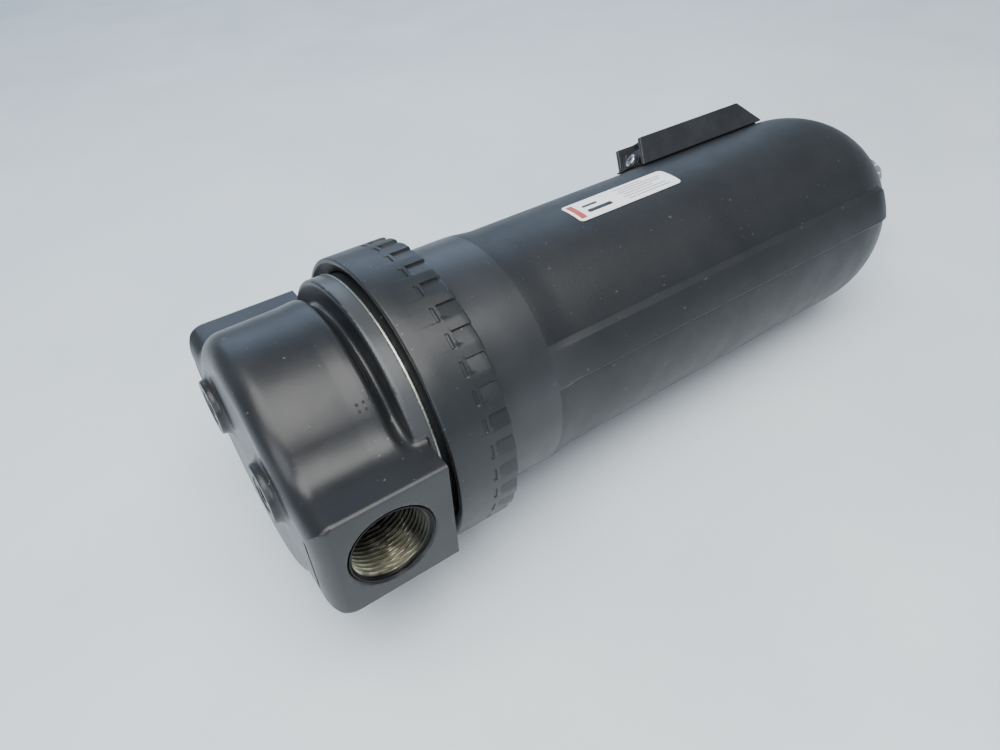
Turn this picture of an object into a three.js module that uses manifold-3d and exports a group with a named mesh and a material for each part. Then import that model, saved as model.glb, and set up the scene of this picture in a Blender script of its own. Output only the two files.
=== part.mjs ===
// Compressed air filter with a cast head, a threaded lock collar and a metal bowl.
// Millimetres. +X runs along the bowl from the head to the drain, the pipe ports face -Y and +Y, and +Z is up
// with the filter lying on its side. The origin is where the port axis crosses the bowl axis.
import * as THREE from 'three';
import { mergeVertices } from 'three/addons/utils/BufferGeometryUtils.js';
import Module from 'manifold-3d';

const wasm = await Module();
wasm.setup();

// ---------------------------------------------------------------- driving dimensions
const GAP = 0.3;                  // left between pieces that touch
const ROUND = 36;                 // segments round the large castings
const ROUND_SMALL = 24;           // segments round the inner parts
const ROUND_FINE = 16;            // segments round screws, seals and bores

const PORT_FACE_Y = 70;           // port face to bowl axis
const PORT_BORE_R = 15.9;         // mean radius of the 1 inch pipe thread
const PORT_MOUTH_R = 17;          // chamfer at the mouth of the thread
const PORT_THREAD_DEPTH = 26;
const PASSAGE_R = 13;             // cast passages behind the threads

const HEAD_END_X = -27.2;         // flat closed end of the head
const HEAD_R = 53;
const HEAD_FILLET = 9;
const BOSS_HALF_Z = 25;
const BOSS_END_X = 25.3;          // side of the port bosses next to the collar
const BOSS_CORNER = 9;
const FLANGE_R = 60;
const FLANGE_START_X = 21;
const FLANGE_END_X = 29;
const HEAD_THREAD_R = 59;
const HEAD_SKIRT_END_X = 50;
const SPIGOT_BORE_R = 51;
const CHAMBER_R = 46;
const CHAMBER_START_X = -16;
const CORE_R = 22;                // central boss that carries the element
const ELEMENT_SEAT_X = 36;

const GAUGE_BOSS = [29, 11];      // centres of the gauge bosses on the closed end, along Y (both sides) and Z
const GAUGE_BOSS_R = 12;
const GAUGE_BOSS_FACE_X = -31;
const GAUGE_PORT_R = 6.9;         // mean radius of the plugged thread in each boss

const COLLAR_START_X = 30.8;
const COLLAR_END_X = 58.3;
const COLLAR_R = 66;
const COLLAR_BORE_R = 59.4;
const COLLAR_LIP_X = 55;
const GRIP_COUNT = 36;
const GRIP_START_X = 49.3;
const GRIP_DEPTH = 1.1;
const GRIP_SWEEP_DEG = 6;

const NECK_R = 56.5;
const NECK_END_X = 87.5;
const BOWL_R = 55;
const BOWL_TAPER_END_X = 105;
const BOWL_BORE_R = 50.5;
const BOWL_FLANGE_R = 58.6;
const SPIGOT_R = 50.6;
const SPIGOT_BORE = 46.5;
const SPIGOT_START_X = 33.5;
const DOME_START_X = 293;
const DOME_LENGTH = 58;
const WALL = BOWL_R - BOWL_BORE_R;
const RIB_ANGLES_DEG = [155, 335];
const RIB_HALF_DEG = 10;
const RIB_R = NECK_R - 0.4;
const RIB_START_X = NECK_END_X - 1.5;
const RIB_END_X = 314;
const DOME_RIB_ROOT_R = 47.5;     // deep enough to meet the dome where the rib ends

const GAUGE_ANGLE_DEG = 51.5;     // where the level gauge sits round the bowl
const GAUGE_HALF_W = 11;
const GAUGE_INNER_W = 8.8;        // inner faces of the guard's two side walls
const GAUGE_FOOT_X = 203.5;
const GAUGE_WALL_X = 206;
const GAUGE_BLOCK_X = 222;
const GAUGE_BEVEL_X = 283;
const GAUGE_END_X = 296.5;
const GAUGE_WALL_H = 54.8;        // lower edge of the side walls, just clear of the round bowl
const GAUGE_PAD_H = 55.4;
const GAUGE_TOP_H = 68.3;
const GAUGE_FOOT_H = 64.2;
const GASKET_THICK = 0.6;
const SCREW_R = 2;
const SCREW_LENGTH = 8;
const SCREW_HEAD_R = 3.5;
const UPPER_SCREW = [209.2, 58.8, 1];    // seat along X, seat height, and the way the shank leans
const LOWER_SCREW = [289.6, 60.4, -1];
const TUBE_H = 62;
const TUBE_X = [226, 276];

const LABEL_X = [136.5, 198.5];
const LABEL_ANGLES_DEG = [81.8, 98];

const TIE_ROD_R = 4;
const ELEMENT_END_X = 242;
const ELEMENT_R = 35;
const DRAIN_HOLE_R = 9.3;
const DRAIN_FACE_X = 352;
const DRAIN_TIP_X = 388;

const rad = THREE.MathUtils.degToRad;

// ---------------------------------------------------------------- solids from three.js geometry
function weld(geometry) {
  const bare = geometry.clone();
  for (const name of Object.keys(bare.attributes)) {
    if (name !== 'position') bare.deleteAttribute(name);
  }
  return mergeVertices(bare, 1e-4);
}

function solid(geometry) {
  const merged = weld(geometry);
  const position = merged.attributes.position;
  const index = merged.index.array;
  const corner = (i) => new THREE.Vector3().fromBufferAttribute(position, i);
  const kept = [];
  let volume = 0;
  for (let i = 0; i < index.length; i += 3) {
    const [a, b, c] = [index[i], index[i + 1], index[i + 2]];
    if (a === b || b === c || c === a) continue;
    kept.push(a, b, c);
    volume += corner(a).dot(corner(b).cross(corner(c)));
  }
  if (volume < 0) {
    for (let i = 0; i < kept.length; i += 3) {
      [kept[i + 1], kept[i + 2]] = [kept[i + 2], kept[i + 1]];
    }
  }
  return new wasm.Manifold(new wasm.Mesh({
    numProp: 3,
    vertProperties: new Float32Array(position.array),
    triVerts: new Uint32Array(kept),
  }));
}

// Turns a profile of [x, radius] points round the X axis. The half step puts a flat at the lowest line.
function revolve(profile, segments = ROUND) {
  const lathe = new THREE.LatheGeometry(profile.map(([x, r]) => new THREE.Vector2(r, x)), segments);
  lathe.rotateZ(-Math.PI / 2);
  lathe.rotateX(Math.PI / segments);
  return solid(lathe);
}

function closedRevolve(profile, segments) {
  return revolve([...profile, profile[0]], segments);
}

// A plain ring from x0 to x1 between two radii, or a disc when the inner radius is 0.
function ring(x0, x1, inner, outer, segments = ROUND_SMALL) {
  if (inner === 0) return revolve([[x0, 0], [x0, outer], [x1, outer], [x1, 0]], segments);
  return closedRevolve([[x0, inner], [x0, outer], [x1, outer], [x1, inner]], segments);
}

// Points on a round fillet or dome, from one angle to another, about a centre in the profile plane.
function arc(cx, cr, rx, rr, fromDeg, toDeg, steps) {
  return Array.from({ length: steps + 1 }, (_, i) => {
    const a = rad(fromDeg + (toDeg - fromDeg) * i / steps);
    return [cx + rx * Math.cos(a), cr + rr * Math.sin(a)];
  });
}

function box(x, y, z) {
  const geometry = new THREE.BoxGeometry(x[1] - x[0], y[1] - y[0], z[1] - z[0]);
  geometry.translate((x[0] + x[1]) / 2, (y[0] + y[1]) / 2, (z[0] + z[1]) / 2);
  return solid(geometry);
}

// A cylinder or cone between two points.
function rod(from, to, r0, r1 = r0, segments = ROUND_FINE) {
  const a = new THREE.Vector3(...from);
  const b = new THREE.Vector3(...to);
  const geometry = new THREE.CylinderGeometry(r1, r0, a.distanceTo(b), segments);
  const turn = new THREE.Quaternion().setFromUnitVectors(
    new THREE.Vector3(0, 1, 0), b.clone().sub(a).normalize());
  geometry.applyQuaternion(turn);
  geometry.translate(...a.add(b).multiplyScalar(0.5).toArray());
  return solid(geometry);
}

// A hexagonal prism along X.
function hex(x0, x1, acrossFlats) {
  return rod([x0, 0, 0], [x1, 0, 0], acrossFlats / Math.sqrt(3), acrossFlats / Math.sqrt(3), 6);
}

// A shape drawn in X and Z, pushed along Y between two planes.
function slabY(shape, y0, y1, curveSegments = 6) {
  const geometry = new THREE.ExtrudeGeometry(shape, { depth: y1 - y0, bevelEnabled: false, curveSegments });
  geometry.rotateX(Math.PI / 2);
  geometry.translate(0, y1, 0);
  return solid(geometry);
}

// A shape drawn in Y and Z, pushed along X between two planes.
function slabX(shape, x0, x1, curveSegments = 12) {
  const geometry = new THREE.ExtrudeGeometry(shape, { depth: x1 - x0, bevelEnabled: false, curveSegments });
  const basis = new THREE.Matrix4().makeBasis(
    new THREE.Vector3(0, 1, 0), new THREE.Vector3(0, 0, 1), new THREE.Vector3(1, 0, 0));
  geometry.applyMatrix4(basis);
  geometry.translate(x0, 0, 0);
  return solid(geometry);
}

// A band of a cylinder wall, between two angles measured from +Y towards +Z.
function sector(x0, x1, inner, outer, fromDeg, toDeg) {
  const shape = new THREE.Shape();
  shape.absarc(0, 0, outer, rad(fromDeg), rad(toDeg), false);
  shape.absarc(0, 0, inner, rad(toDeg), rad(fromDeg), true);
  shape.closePath();
  return slabX(shape, x0, x1);
}

function polygon(points) {
  return new THREE.Shape(points.map(([a, b]) => new THREE.Vector2(a, b)));
}

const cut = (body, ...tools) => tools.reduce((left, tool) => left.subtract(tool), body);
const join = (body, ...more) => more.reduce((left, piece) => left.add(piece), body);

// ---------------------------------------------------------------- head
function roundedBoss() {
  const [left, right, half, r] = [HEAD_END_X, BOSS_END_X, BOSS_HALF_Z, BOSS_CORNER];
  const shape = new THREE.Shape();
  shape.moveTo(right, half);
  shape.lineTo(left + r, half);
  shape.absarc(left + r, half - r, r, Math.PI / 2, Math.PI, false);
  shape.lineTo(left, -half + r);
  shape.absarc(left + r, -half + r, r, Math.PI, 1.5 * Math.PI, false);
  shape.lineTo(right, -half);
  return slabY(shape, -PORT_FACE_Y, PORT_FACE_Y);
}

// A cylinder along X on the axis of one gauge boss. side is -1 next to the inlet and 1 next to the outlet.
function gaugeAxisRod(side, x0, x1, radius, segments = ROUND_FINE) {
  const [y, z] = [side * GAUGE_BOSS[0], GAUGE_BOSS[1]];
  return rod([x0, y, z], [x1, y, z], radius, radius, segments);
}

function headCasting() {
  const outside = revolve([
    [HEAD_END_X, 0],
    ...arc(HEAD_END_X + HEAD_FILLET, HEAD_R - HEAD_FILLET, HEAD_FILLET, HEAD_FILLET, 180, 90, 5),
    [14.5, HEAD_R + 1.3],
    [17, HEAD_R - 0.8],
    [19, HEAD_R - 1.6],
    [FLANGE_START_X, HEAD_R + 2],
    ...arc(FLANGE_START_X + 4, FLANGE_R - 4, 4, 4, 180, 90, 4),
    [FLANGE_END_X, FLANGE_R],
    [FLANGE_END_X + 0.8, HEAD_THREAD_R],
    [HEAD_SKIRT_END_X, HEAD_THREAD_R],
    [HEAD_SKIRT_END_X, 0],
  ]);
  const chamber = closedRevolve([
    [CHAMBER_START_X, CORE_R], [CHAMBER_START_X, CHAMBER_R], [24, CHAMBER_R], [24, SPIGOT_BORE_R],
    [HEAD_SKIRT_END_X + 1, SPIGOT_BORE_R], [HEAD_SKIRT_END_X + 1, CORE_R],
  ]);
  const faceTrim = ring(ELEMENT_SEAT_X, HEAD_SKIRT_END_X + 1, 0, CORE_R + 1);
  const outletTube = rod([0, 10, 0], [0, 50, 0], PASSAGE_R + 3.5);
  const gaugeBosses = [-1, 1].map(
    (side) => gaugeAxisRod(side, GAUGE_BOSS_FACE_X, HEAD_END_X + 3, GAUGE_BOSS_R, ROUND_SMALL));
  let head = cut(join(outside, roundedBoss(), ...gaugeBosses), chamber, faceTrim);
  head = join(head, outletTube);
  for (const side of [-1, 1]) {
    const face = side * PORT_FACE_Y;
    const threadEnd = side * (PORT_FACE_Y - PORT_THREAD_DEPTH);
    head = cut(head,
      rod([0, face + side, 0], [0, threadEnd, 0], PORT_BORE_R, PORT_BORE_R, ROUND_SMALL),
      rod([0, face + side, 0], [0, face - side * 2.4, 0], PORT_MOUTH_R + 1, PORT_BORE_R - 0.6, ROUND_SMALL));
  }
  const slotAt = (side) => {
    const y = side * (PORT_FACE_Y - 10);
    return box([HEAD_END_X - 1, HEAD_END_X + 1.5], [y - 0.8, y + 0.8], [-13, 13]);
  };
  return cut(head,
    rod([0, 60, 0], [0, 0, 0], PASSAGE_R),
    rod([0, -60, 0], [0, -CORE_R - 1, 0], PASSAGE_R),
    ring(-1, 60, 0, PASSAGE_R, ROUND_FINE),
    ring(-23, 0, 0, TIE_ROD_R + GAP, ROUND_FINE),
    gaugeAxisRod(-1, GAUGE_BOSS_FACE_X - 1, -12, GAUGE_PORT_R),
    gaugeAxisRod(1, GAUGE_BOSS_FACE_X - 1, -12, GAUGE_PORT_R),
    slotAt(-1), slotAt(1));
}

// A headless plug, screwed in flush with the face of its boss.
function gaugePlug(side) {
  const body = gaugeAxisRod(side, GAUGE_BOSS_FACE_X + GAP, GAUGE_BOSS_FACE_X + 12, GAUGE_PORT_R - GAP);
  const socket = hex(GAUGE_BOSS_FACE_X - 1, GAUGE_BOSS_FACE_X + 7, 6.5);
  return cut(body, socket.translate([0, side * GAUGE_BOSS[0], GAUGE_BOSS[1]]));
}

// ---------------------------------------------------------------- lock collar
// One wedge-shaped grip pocket, deep on one side and running out to the surface on the other.
function gripPocket(angleDeg) {
  const [r0, r1] = [COLLAR_R - GRIP_DEPTH, COLLAR_R + 2];
  const end = angleDeg + GRIP_SWEEP_DEG;
  const at = (r, deg) => [r * Math.cos(rad(deg)), r * Math.sin(rad(deg))];
  const section = polygon([at(r0, angleDeg), at(r1, angleDeg), at(r1, end), at(COLLAR_R, end)]);
  return slabX(section, GRIP_START_X, COLLAR_END_X + 1);
}

function lockCollar() {
  let collar = closedRevolve([
    [COLLAR_START_X, COLLAR_R - 1.8],
    [COLLAR_START_X, COLLAR_R - 0.8],
    [COLLAR_START_X + 0.8, COLLAR_R],
    [COLLAR_END_X - 0.8, COLLAR_R],
    [COLLAR_END_X, COLLAR_R - 0.8],
    [COLLAR_END_X, NECK_R + 0.7],
    [COLLAR_LIP_X, NECK_R + 0.7],
    [COLLAR_LIP_X, COLLAR_BORE_R],
    [COLLAR_START_X + 3.2, COLLAR_BORE_R],
  ]);
  for (let i = 0; i < GRIP_COUNT; i++) collar = cut(collar, gripPocket(5.5 + i * 360 / GRIP_COUNT));
  return collar;
}

// ---------------------------------------------------------------- bowl
// Places a solid drawn with X along the bowl, Y across and Z outwards onto the gauge's side of the bowl.
const onGaugeSide = (body) => body.rotate([GAUGE_ANGLE_DEG - 90, 0, 0]);

// Both gauge screws lean 45 degrees, away from the middle of the gauge. Distances run down the axis from the seat.
function screwPoint([x, h, inward], distance) {
  const step = distance * Math.SQRT1_2;
  return [x + inward * step, 0, h - step];
}

const screwHole = (screw) => rod(screwPoint(screw, -1), screwPoint(screw, SCREW_LENGTH + 0.5), SCREW_R + GAP);

function bowlCasting() {
  const outerDome = arc(DOME_START_X, 0, DOME_LENGTH, BOWL_R, 90, 18, 8);
  const innerDome = arc(DOME_START_X, 0, DOME_LENGTH - WALL, BOWL_BORE_R, 20, 90, 6);
  let bowl = revolve([
    [341, 0],
    [341, 16.5],
    ...innerDome,
    [62, BOWL_BORE_R],
    [58, SPIGOT_BORE],
    [SPIGOT_START_X, SPIGOT_BORE],
    [SPIGOT_START_X, SPIGOT_R - 0.6],
    [SPIGOT_START_X + 0.6, SPIGOT_R],
    [39, SPIGOT_R], [39, SPIGOT_R - 2], [42.4, SPIGOT_R - 2], [42.4, SPIGOT_R],
    [HEAD_SKIRT_END_X + 0.4, SPIGOT_R],
    [HEAD_SKIRT_END_X + 0.4, BOWL_FLANGE_R],
    [53.6, BOWL_FLANGE_R],
    [53.6, NECK_R],
    [NECK_END_X, NECK_R],
    [(NECK_END_X + BOWL_TAPER_END_X) / 2, (NECK_R + BOWL_R) / 2 - 0.1],
    [BOWL_TAPER_END_X, BOWL_R],
    ...outerDome,
    [DRAIN_FACE_X, 15.5],
    [DRAIN_FACE_X, 0],
  ]);
  const hollow = ring(80, DOME_START_X, 0, BOWL_BORE_R, ROUND);
  const hollowDome = revolve([[DOME_START_X - 1, 0], [DOME_START_X - 1, BOWL_BORE_R], ...innerDome.reverse(), [343, 0]]);
  for (const angle of RIB_ANGLES_DEG) {
    bowl = join(bowl, sector(RIB_START_X, RIB_END_X, DOME_RIB_ROOT_R, RIB_R, angle - RIB_HALF_DEG, angle + RIB_HALF_DEG));
  }
  const padW = GAUGE_INNER_W - 0.6;
  const pad = onGaugeSide(box([GAUGE_FOOT_X, GAUGE_END_X - 3], [-padW, padW], [BOWL_BORE_R + 1, GAUGE_PAD_H]));
  return cut(join(bowl, pad), hollow, hollowDome,
    ring(330, 360, 0, DRAIN_HOLE_R, ROUND_FINE),
    onGaugeSide(screwHole(UPPER_SCREW)),
    onGaugeSide(screwHole(LOWER_SCREW)));
}

// ---------------------------------------------------------------- level gauge on the bowl
const GAUGE_BASE_H = GAUGE_PAD_H + GASKET_THICK + 0.4;

// Long block with a bevelled far end, two thin side walls that reach down beside the pad, and a low foot at the
// head end whose ramp seats the leaning screw, with a cheek behind it and the inlet side left open.
function gaugeGuard() {
  const bevelH = (x) => GAUGE_TOP_H - (x - GAUGE_BEVEL_X);
  const wallEndX = GAUGE_BEVEL_X + GAUGE_TOP_H - GAUGE_WALL_H;
  const wall = polygon([
    [GAUGE_WALL_X, GAUGE_WALL_H], [GAUGE_WALL_X + 3.6, GAUGE_TOP_H], [GAUGE_BEVEL_X, GAUGE_TOP_H], [wallEndX, GAUGE_WALL_H],
  ]);
  const block = polygon([
    [GAUGE_BLOCK_X, GAUGE_BASE_H], [GAUGE_BLOCK_X, GAUGE_TOP_H], [GAUGE_BEVEL_X, GAUGE_TOP_H],
    [GAUGE_END_X - 2, bevelH(GAUGE_END_X - 2)], [GAUGE_END_X - 2, GAUGE_BASE_H],
  ]);
  const notchFloor = GAUGE_BASE_H + 0.8;
  const [screwX, screwH] = UPPER_SCREW;
  const slope = (h) => [screwX + h - screwH, h];
  const footEnd = [[GAUGE_BLOCK_X + 1, GAUGE_FOOT_H], [GAUGE_BLOCK_X + 1, GAUGE_BASE_H]];
  const ramp = polygon([
    [GAUGE_FOOT_X, GAUGE_BASE_H], [GAUGE_FOOT_X, notchFloor], slope(notchFloor), slope(GAUGE_FOOT_H), ...footEnd,
  ]);
  const farCheek = polygon([[GAUGE_FOOT_X + 3, GAUGE_BASE_H], [GAUGE_FOOT_X + 6.6, GAUGE_FOOT_H], ...footEnd]);
  const solid = join(
    slabY(wall, -GAUGE_HALF_W, -GAUGE_INNER_W),
    slabY(wall, GAUGE_INNER_W, GAUGE_HALF_W),
    slabY(block, -GAUGE_INNER_W - 0.2, GAUGE_INNER_W + 0.2),
    slabY(ramp, -5, GAUGE_INNER_W),
    slabY(farCheek, 4.4, GAUGE_INNER_W + 0.2),
  );
  const window = box([TUBE_X[0] + 4, TUBE_X[1] - 4], [-3.6, 3.6], [TUBE_H - 3.6, GAUGE_TOP_H + 1]);
  const tubeBore = rod([TUBE_X[0] - GAP, 0, TUBE_H], [TUBE_X[1] + GAP, 0, TUBE_H], 3.6);
  const seats = [UPPER_SCREW, LOWER_SCREW].map(
    (screw) => rod(screwPoint(screw, -4), screwPoint(screw, 0), SCREW_HEAD_R + GAP));
  return cut(solid, window, tubeBore, ...seats, screwHole(UPPER_SCREW), screwHole(LOWER_SCREW));
}

function gaugeGasket() {
  const sheet = box([GAUGE_FOOT_X + 1, GAUGE_END_X - 4], [-GAUGE_INNER_W + 0.8, GAUGE_INNER_W - 0.8],
    [GAUGE_PAD_H + 0.2, GAUGE_PAD_H + 0.2 + GASKET_THICK]);
  return cut(sheet, screwHole(UPPER_SCREW), screwHole(LOWER_SCREW));
}

function gaugeTube() {
  const tube = rod([TUBE_X[0], 0, TUBE_H], [TUBE_X[1], 0, TUBE_H], 3);
  return cut(tube, rod([TUBE_X[0] - 1, 0, TUBE_H], [TUBE_X[1] + 1, 0, TUBE_H], 2));
}

function gaugeScrew(screw) {
  return join(rod(screwPoint(screw, -0.5), screwPoint(screw, SCREW_LENGTH), SCREW_R),
    rod(screwPoint(screw, -2.3), screwPoint(screw, -0.2), SCREW_HEAD_R - 0.7, SCREW_HEAD_R));
}

function label() {
  return sector(LABEL_X[0], LABEL_X[1], BOWL_R + GAP, BOWL_R + GAP + 0.25, ...LABEL_ANGLES_DEG);
}

// ---------------------------------------------------------------- seals and washers round the bowl mouth
const bowlORing = () => ring(39.5, 41.9, SPIGOT_R - 1.7, SPIGOT_BORE_R - GAP, ROUND);
const collarSlipRing = () => ring(53.9, 54.7, NECK_R + 0.4, BOWL_FLANGE_R + 0.4, ROUND);

// ---------------------------------------------------------------- deflector and filter element
const VANE_COUNT = 12;

function deflector() {
  const plate = join(ring(28.4, 31.4, CORE_R + GAP, 45.4), ring(24.4, 31.4, CORE_R + GAP, CORE_R + 2.5));
  let vanes = plate;
  for (let i = 0; i < VANE_COUNT; i++) {
    const slot = box([-6, 6], [-1.6, 1.6], [31, 48]).rotate([0, 0, 42]).translate([29.9, 0, 0]);
    vanes = cut(vanes, slot.rotate([i * 360 / VANE_COUNT, 0, 0]));
  }
  return vanes;
}

const elementGasket = () => ring(ELEMENT_SEAT_X + GAP, ELEMENT_SEAT_X + 2.3, 14, 20);

function elementTopCap() {
  return join(ring(38.6, 40.6, 12, ELEMENT_R + 1), ring(40.4, 43.6, ELEMENT_R - 0.6, ELEMENT_R + 1));
}

const PLEATS = 32;

function elementMedia() {
  const outline = [];
  for (let i = 0; i < PLEATS * 2; i++) {
    const r = i % 2 ? ELEMENT_R - 9 : ELEMENT_R - 1.2;
    const a = i * Math.PI / PLEATS;
    outline.push([r * Math.cos(a), r * Math.sin(a)]);
  }
  const shape = polygon(outline);
  const hole = new THREE.Path();
  hole.absarc(0, 0, 19.6, 0, 2 * Math.PI, true);
  shape.holes.push(hole);
  return slabX(shape, 40.9, ELEMENT_END_X - 4.3, 10);
}

const CORE_HOLE_ROWS = 6;

function elementCore() {
  let tube = ring(40.9, ELEMENT_END_X - 4.3, 17.6, 19.2, ROUND_FINE);
  for (let row = 0; row < CORE_HOLE_ROWS; row++) {
    const x = 60 + row * 32;
    const bar = box([x - 5, x + 5], [-2.5, 2.5], [-30, 30]);
    tube = cut(tube, bar.rotate([(row % 2) * 45, 0, 0]), bar.rotate([90 + (row % 2) * 45, 0, 0]));
  }
  return tube;
}

function elementBottomCap() {
  return join(ring(ELEMENT_END_X - 4, ELEMENT_END_X - 2, TIE_ROD_R + 0.6, ELEMENT_R + 1),
    ring(ELEMENT_END_X - 7, ELEMENT_END_X - 3.8, ELEMENT_R - 0.6, ELEMENT_R + 1));
}

const tieRod = () => ring(-22.4, 262, 0, TIE_ROD_R, ROUND_FINE);

function hexNut(x0, x1, acrossFlats, bore) {
  return cut(hex(x0, x1, acrossFlats), ring(x0 - 1, x1 + 1, 0, bore, ROUND_FINE));
}

const elementWasher = () => ring(ELEMENT_END_X - 1.7, ELEMENT_END_X - 0.1, TIE_ROD_R + GAP, 10, ROUND_FINE);
const elementNut = () => hexNut(ELEMENT_END_X + 0.2, ELEMENT_END_X + 6.7, 13, TIE_ROD_R + GAP);

function quietZoneBaffle() {
  const dish = closedRevolve([
    [253, TIE_ROD_R + GAP], [253, 30], [257, 42], [258.4, 42], [254.4, 29.6], [254.4, TIE_ROD_R + GAP],
  ], ROUND_SMALL);
  return dish;
}

const baffleNut = () => hexNut(254.7, 259.7, 13, TIE_ROD_R + GAP);

// ---------------------------------------------------------------- float drain
function drainBody() {
  const stem = ring(284, 337, 0, 5, ROUND_FINE);
  const flange = ring(336, 340.2, 0, 14, ROUND_SMALL);
  const shank = ring(340, 366, 0, DRAIN_HOLE_R - GAP, ROUND_SMALL);
  return cut(join(stem, flange, shank), ring(292, 370, 0, 2.6, ROUND_FINE));
}

const drainSeal = () => ring(340.4, 340.8, 10, 13.6, ROUND_SMALL);
const drainWasher = () => ring(DRAIN_FACE_X + GAP, DRAIN_FACE_X + 1.8, DRAIN_HOLE_R, 15, ROUND_SMALL);
const drainNut = () => hexNut(DRAIN_FACE_X + 2.1, DRAIN_FACE_X + 8.6, 26, DRAIN_HOLE_R);
const drainFloat = () => closedRevolve([
  [297, 5.5], [297, 22], [299, 24], [329, 24], [331, 22], [331, 5.5],
], ROUND_SMALL);
const floatStop = () => ring(281.5, 283.7, 0, 8, ROUND_FINE);

function drainKnob() {
  const start = DRAIN_FACE_X + 9.2;
  let knob = closedRevolve([
    [start, DRAIN_HOLE_R], [start, 12], [start + 1, 13], [start + 14, 13], [start + 15.5, 11.5],
    [start + 15.5, 6.8], [start + 6, 6.8], [start + 6, DRAIN_HOLE_R],
  ], ROUND_SMALL);
  for (let i = 0; i < 12; i++) {
    const flute = rod([start - 1, 0, 13.9], [start + 14, 0, 13.9], 1.8, 1.8, 8);
    knob = cut(knob, flute.rotate([i * 30, 0, 0]));
  }
  return knob;
}

// The outlet stem does not turn: the knob drives it along the axis.
function drainStem() {
  const start = DRAIN_FACE_X + 15.5;
  return cut(closedRevolve([
    [start, 0.01], [start, 6.4], [DRAIN_TIP_X - 1, 6.4], [DRAIN_TIP_X, 5.6], [DRAIN_TIP_X, 0.01],
  ], ROUND_FINE), ring(start - 1, DRAIN_TIP_X + 1, 0, 2.4, ROUND_FINE));
}

const valvePin = () => ring(303, 364, 0, 1.8, 12);

// ---------------------------------------------------------------- materials and scene graph
const finish = (color, roughness, metalness) => ({ color, roughness, metalness });
const PAINT = finish('#1c2024', 0.42, 0.3);
const TEXTURED_PAINT = finish('#20252a', 0.6, 0.2);
const BARE_ALUMINIUM = finish('#b9b8a6', 0.35, 0.9);
const STEEL = finish('#c4c8cc', 0.3, 1);
const NICKEL = finish('#d3d2cc', 0.25, 1);
const BRASS = finish('#b89a55', 0.35, 1);
const RUBBER = finish('#111111', 0.85, 0);
const FIBRE = finish('#5b4d3c', 0.9, 0);
const BLACK_PLASTIC = finish('#17191c', 0.5, 0);
const WHITE_PLASTIC = finish('#dcdcd6', 0.5, 0);
const PAPER = finish('#d9cfae', 0.9, 0);
const LABEL_WHITE = finish('#f4f4f2', 0.4, 0);
const CLEAR = finish('#cfe3ea', 0.05, 0);

function piece(name, body, look) {
  const { vertProperties, triVerts } = body.getMesh();
  const geometry = new THREE.BufferGeometry();
  geometry.setAttribute('position', new THREE.BufferAttribute(new Float32Array(vertProperties), 3));
  geometry.setIndex(new THREE.BufferAttribute(new Uint32Array(triVerts), 1));
  geometry.computeVertexNormals();
  const mesh = new THREE.Mesh(geometry, new THREE.MeshStandardMaterial(look));
  mesh.name = name;
  return mesh;
}

function group(...meshes) {
  const holder = new THREE.Group();
  holder.add(...meshes);
  return holder;
}

const headGroup = group(
  piece('head_casting', headCasting(), PAINT),
  piece('gauge_port_plug_inlet', gaugePlug(-1), PAINT),
  piece('gauge_port_plug_outlet', gaugePlug(1), PAINT),
  piece('deflector', deflector(), WHITE_PLASTIC),
  piece('element_gasket', elementGasket(), RUBBER),
  piece('element_top_cap', elementTopCap(), BLACK_PLASTIC),
  piece('element_media', elementMedia(), PAPER),
  piece('element_core', elementCore(), STEEL),
  piece('element_bottom_cap', elementBottomCap(), BLACK_PLASTIC),
  piece('tie_rod', tieRod(), STEEL),
  piece('element_washer', elementWasher(), STEEL),
  piece('element_nut', elementNut(), STEEL),
  piece('quiet_zone_baffle', quietZoneBaffle(), BLACK_PLASTIC),
  piece('baffle_nut', baffleNut(), STEEL),
);

const collarGroup = group(piece('lock_collar', lockCollar(), PAINT));

// The gauge pieces are drawn standing on top and turned together to their place round the bowl.
const gaugeGroup = group(
  piece('gauge_guard', gaugeGuard(), BLACK_PLASTIC),
  piece('gauge_gasket', gaugeGasket(), RUBBER),
  piece('gauge_tube', gaugeTube(), CLEAR),
  piece('gauge_screw_upper', gaugeScrew(UPPER_SCREW), STEEL),
  piece('gauge_screw_lower', gaugeScrew(LOWER_SCREW), STEEL),
);
gaugeGroup.rotation.x = rad(GAUGE_ANGLE_DEG - 90);

const bowlGroup = group(
  piece('bowl_casting', bowlCasting(), TEXTURED_PAINT),
  piece('bowl_o_ring', bowlORing(), RUBBER),
  piece('collar_slip_ring', collarSlipRing(), STEEL),
  piece('rating_label', label(), LABEL_WHITE),
  piece('drain_body', drainBody(), BRASS),
  piece('drain_seal', drainSeal(), RUBBER),
  piece('drain_washer', drainWasher(), FIBRE),
  piece('drain_nut', drainNut(), BRASS),
  piece('float_stop', floatStop(), STEEL),
  gaugeGroup,
);

const drainGroup = group(
  piece('drain_knob', drainKnob(), BRASS),
  piece('drain_stem', drainStem(), NICKEL),
  piece('drain_float', drainFloat(), WHITE_PLASTIC),
  piece('drain_valve_pin', valvePin(), STEEL),
);

export default group(headGroup, collarGroup, bowlGroup, drainGroup);
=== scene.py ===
import math

import bpy
import numpy as np
from mathutils import Matrix, Vector


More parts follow.
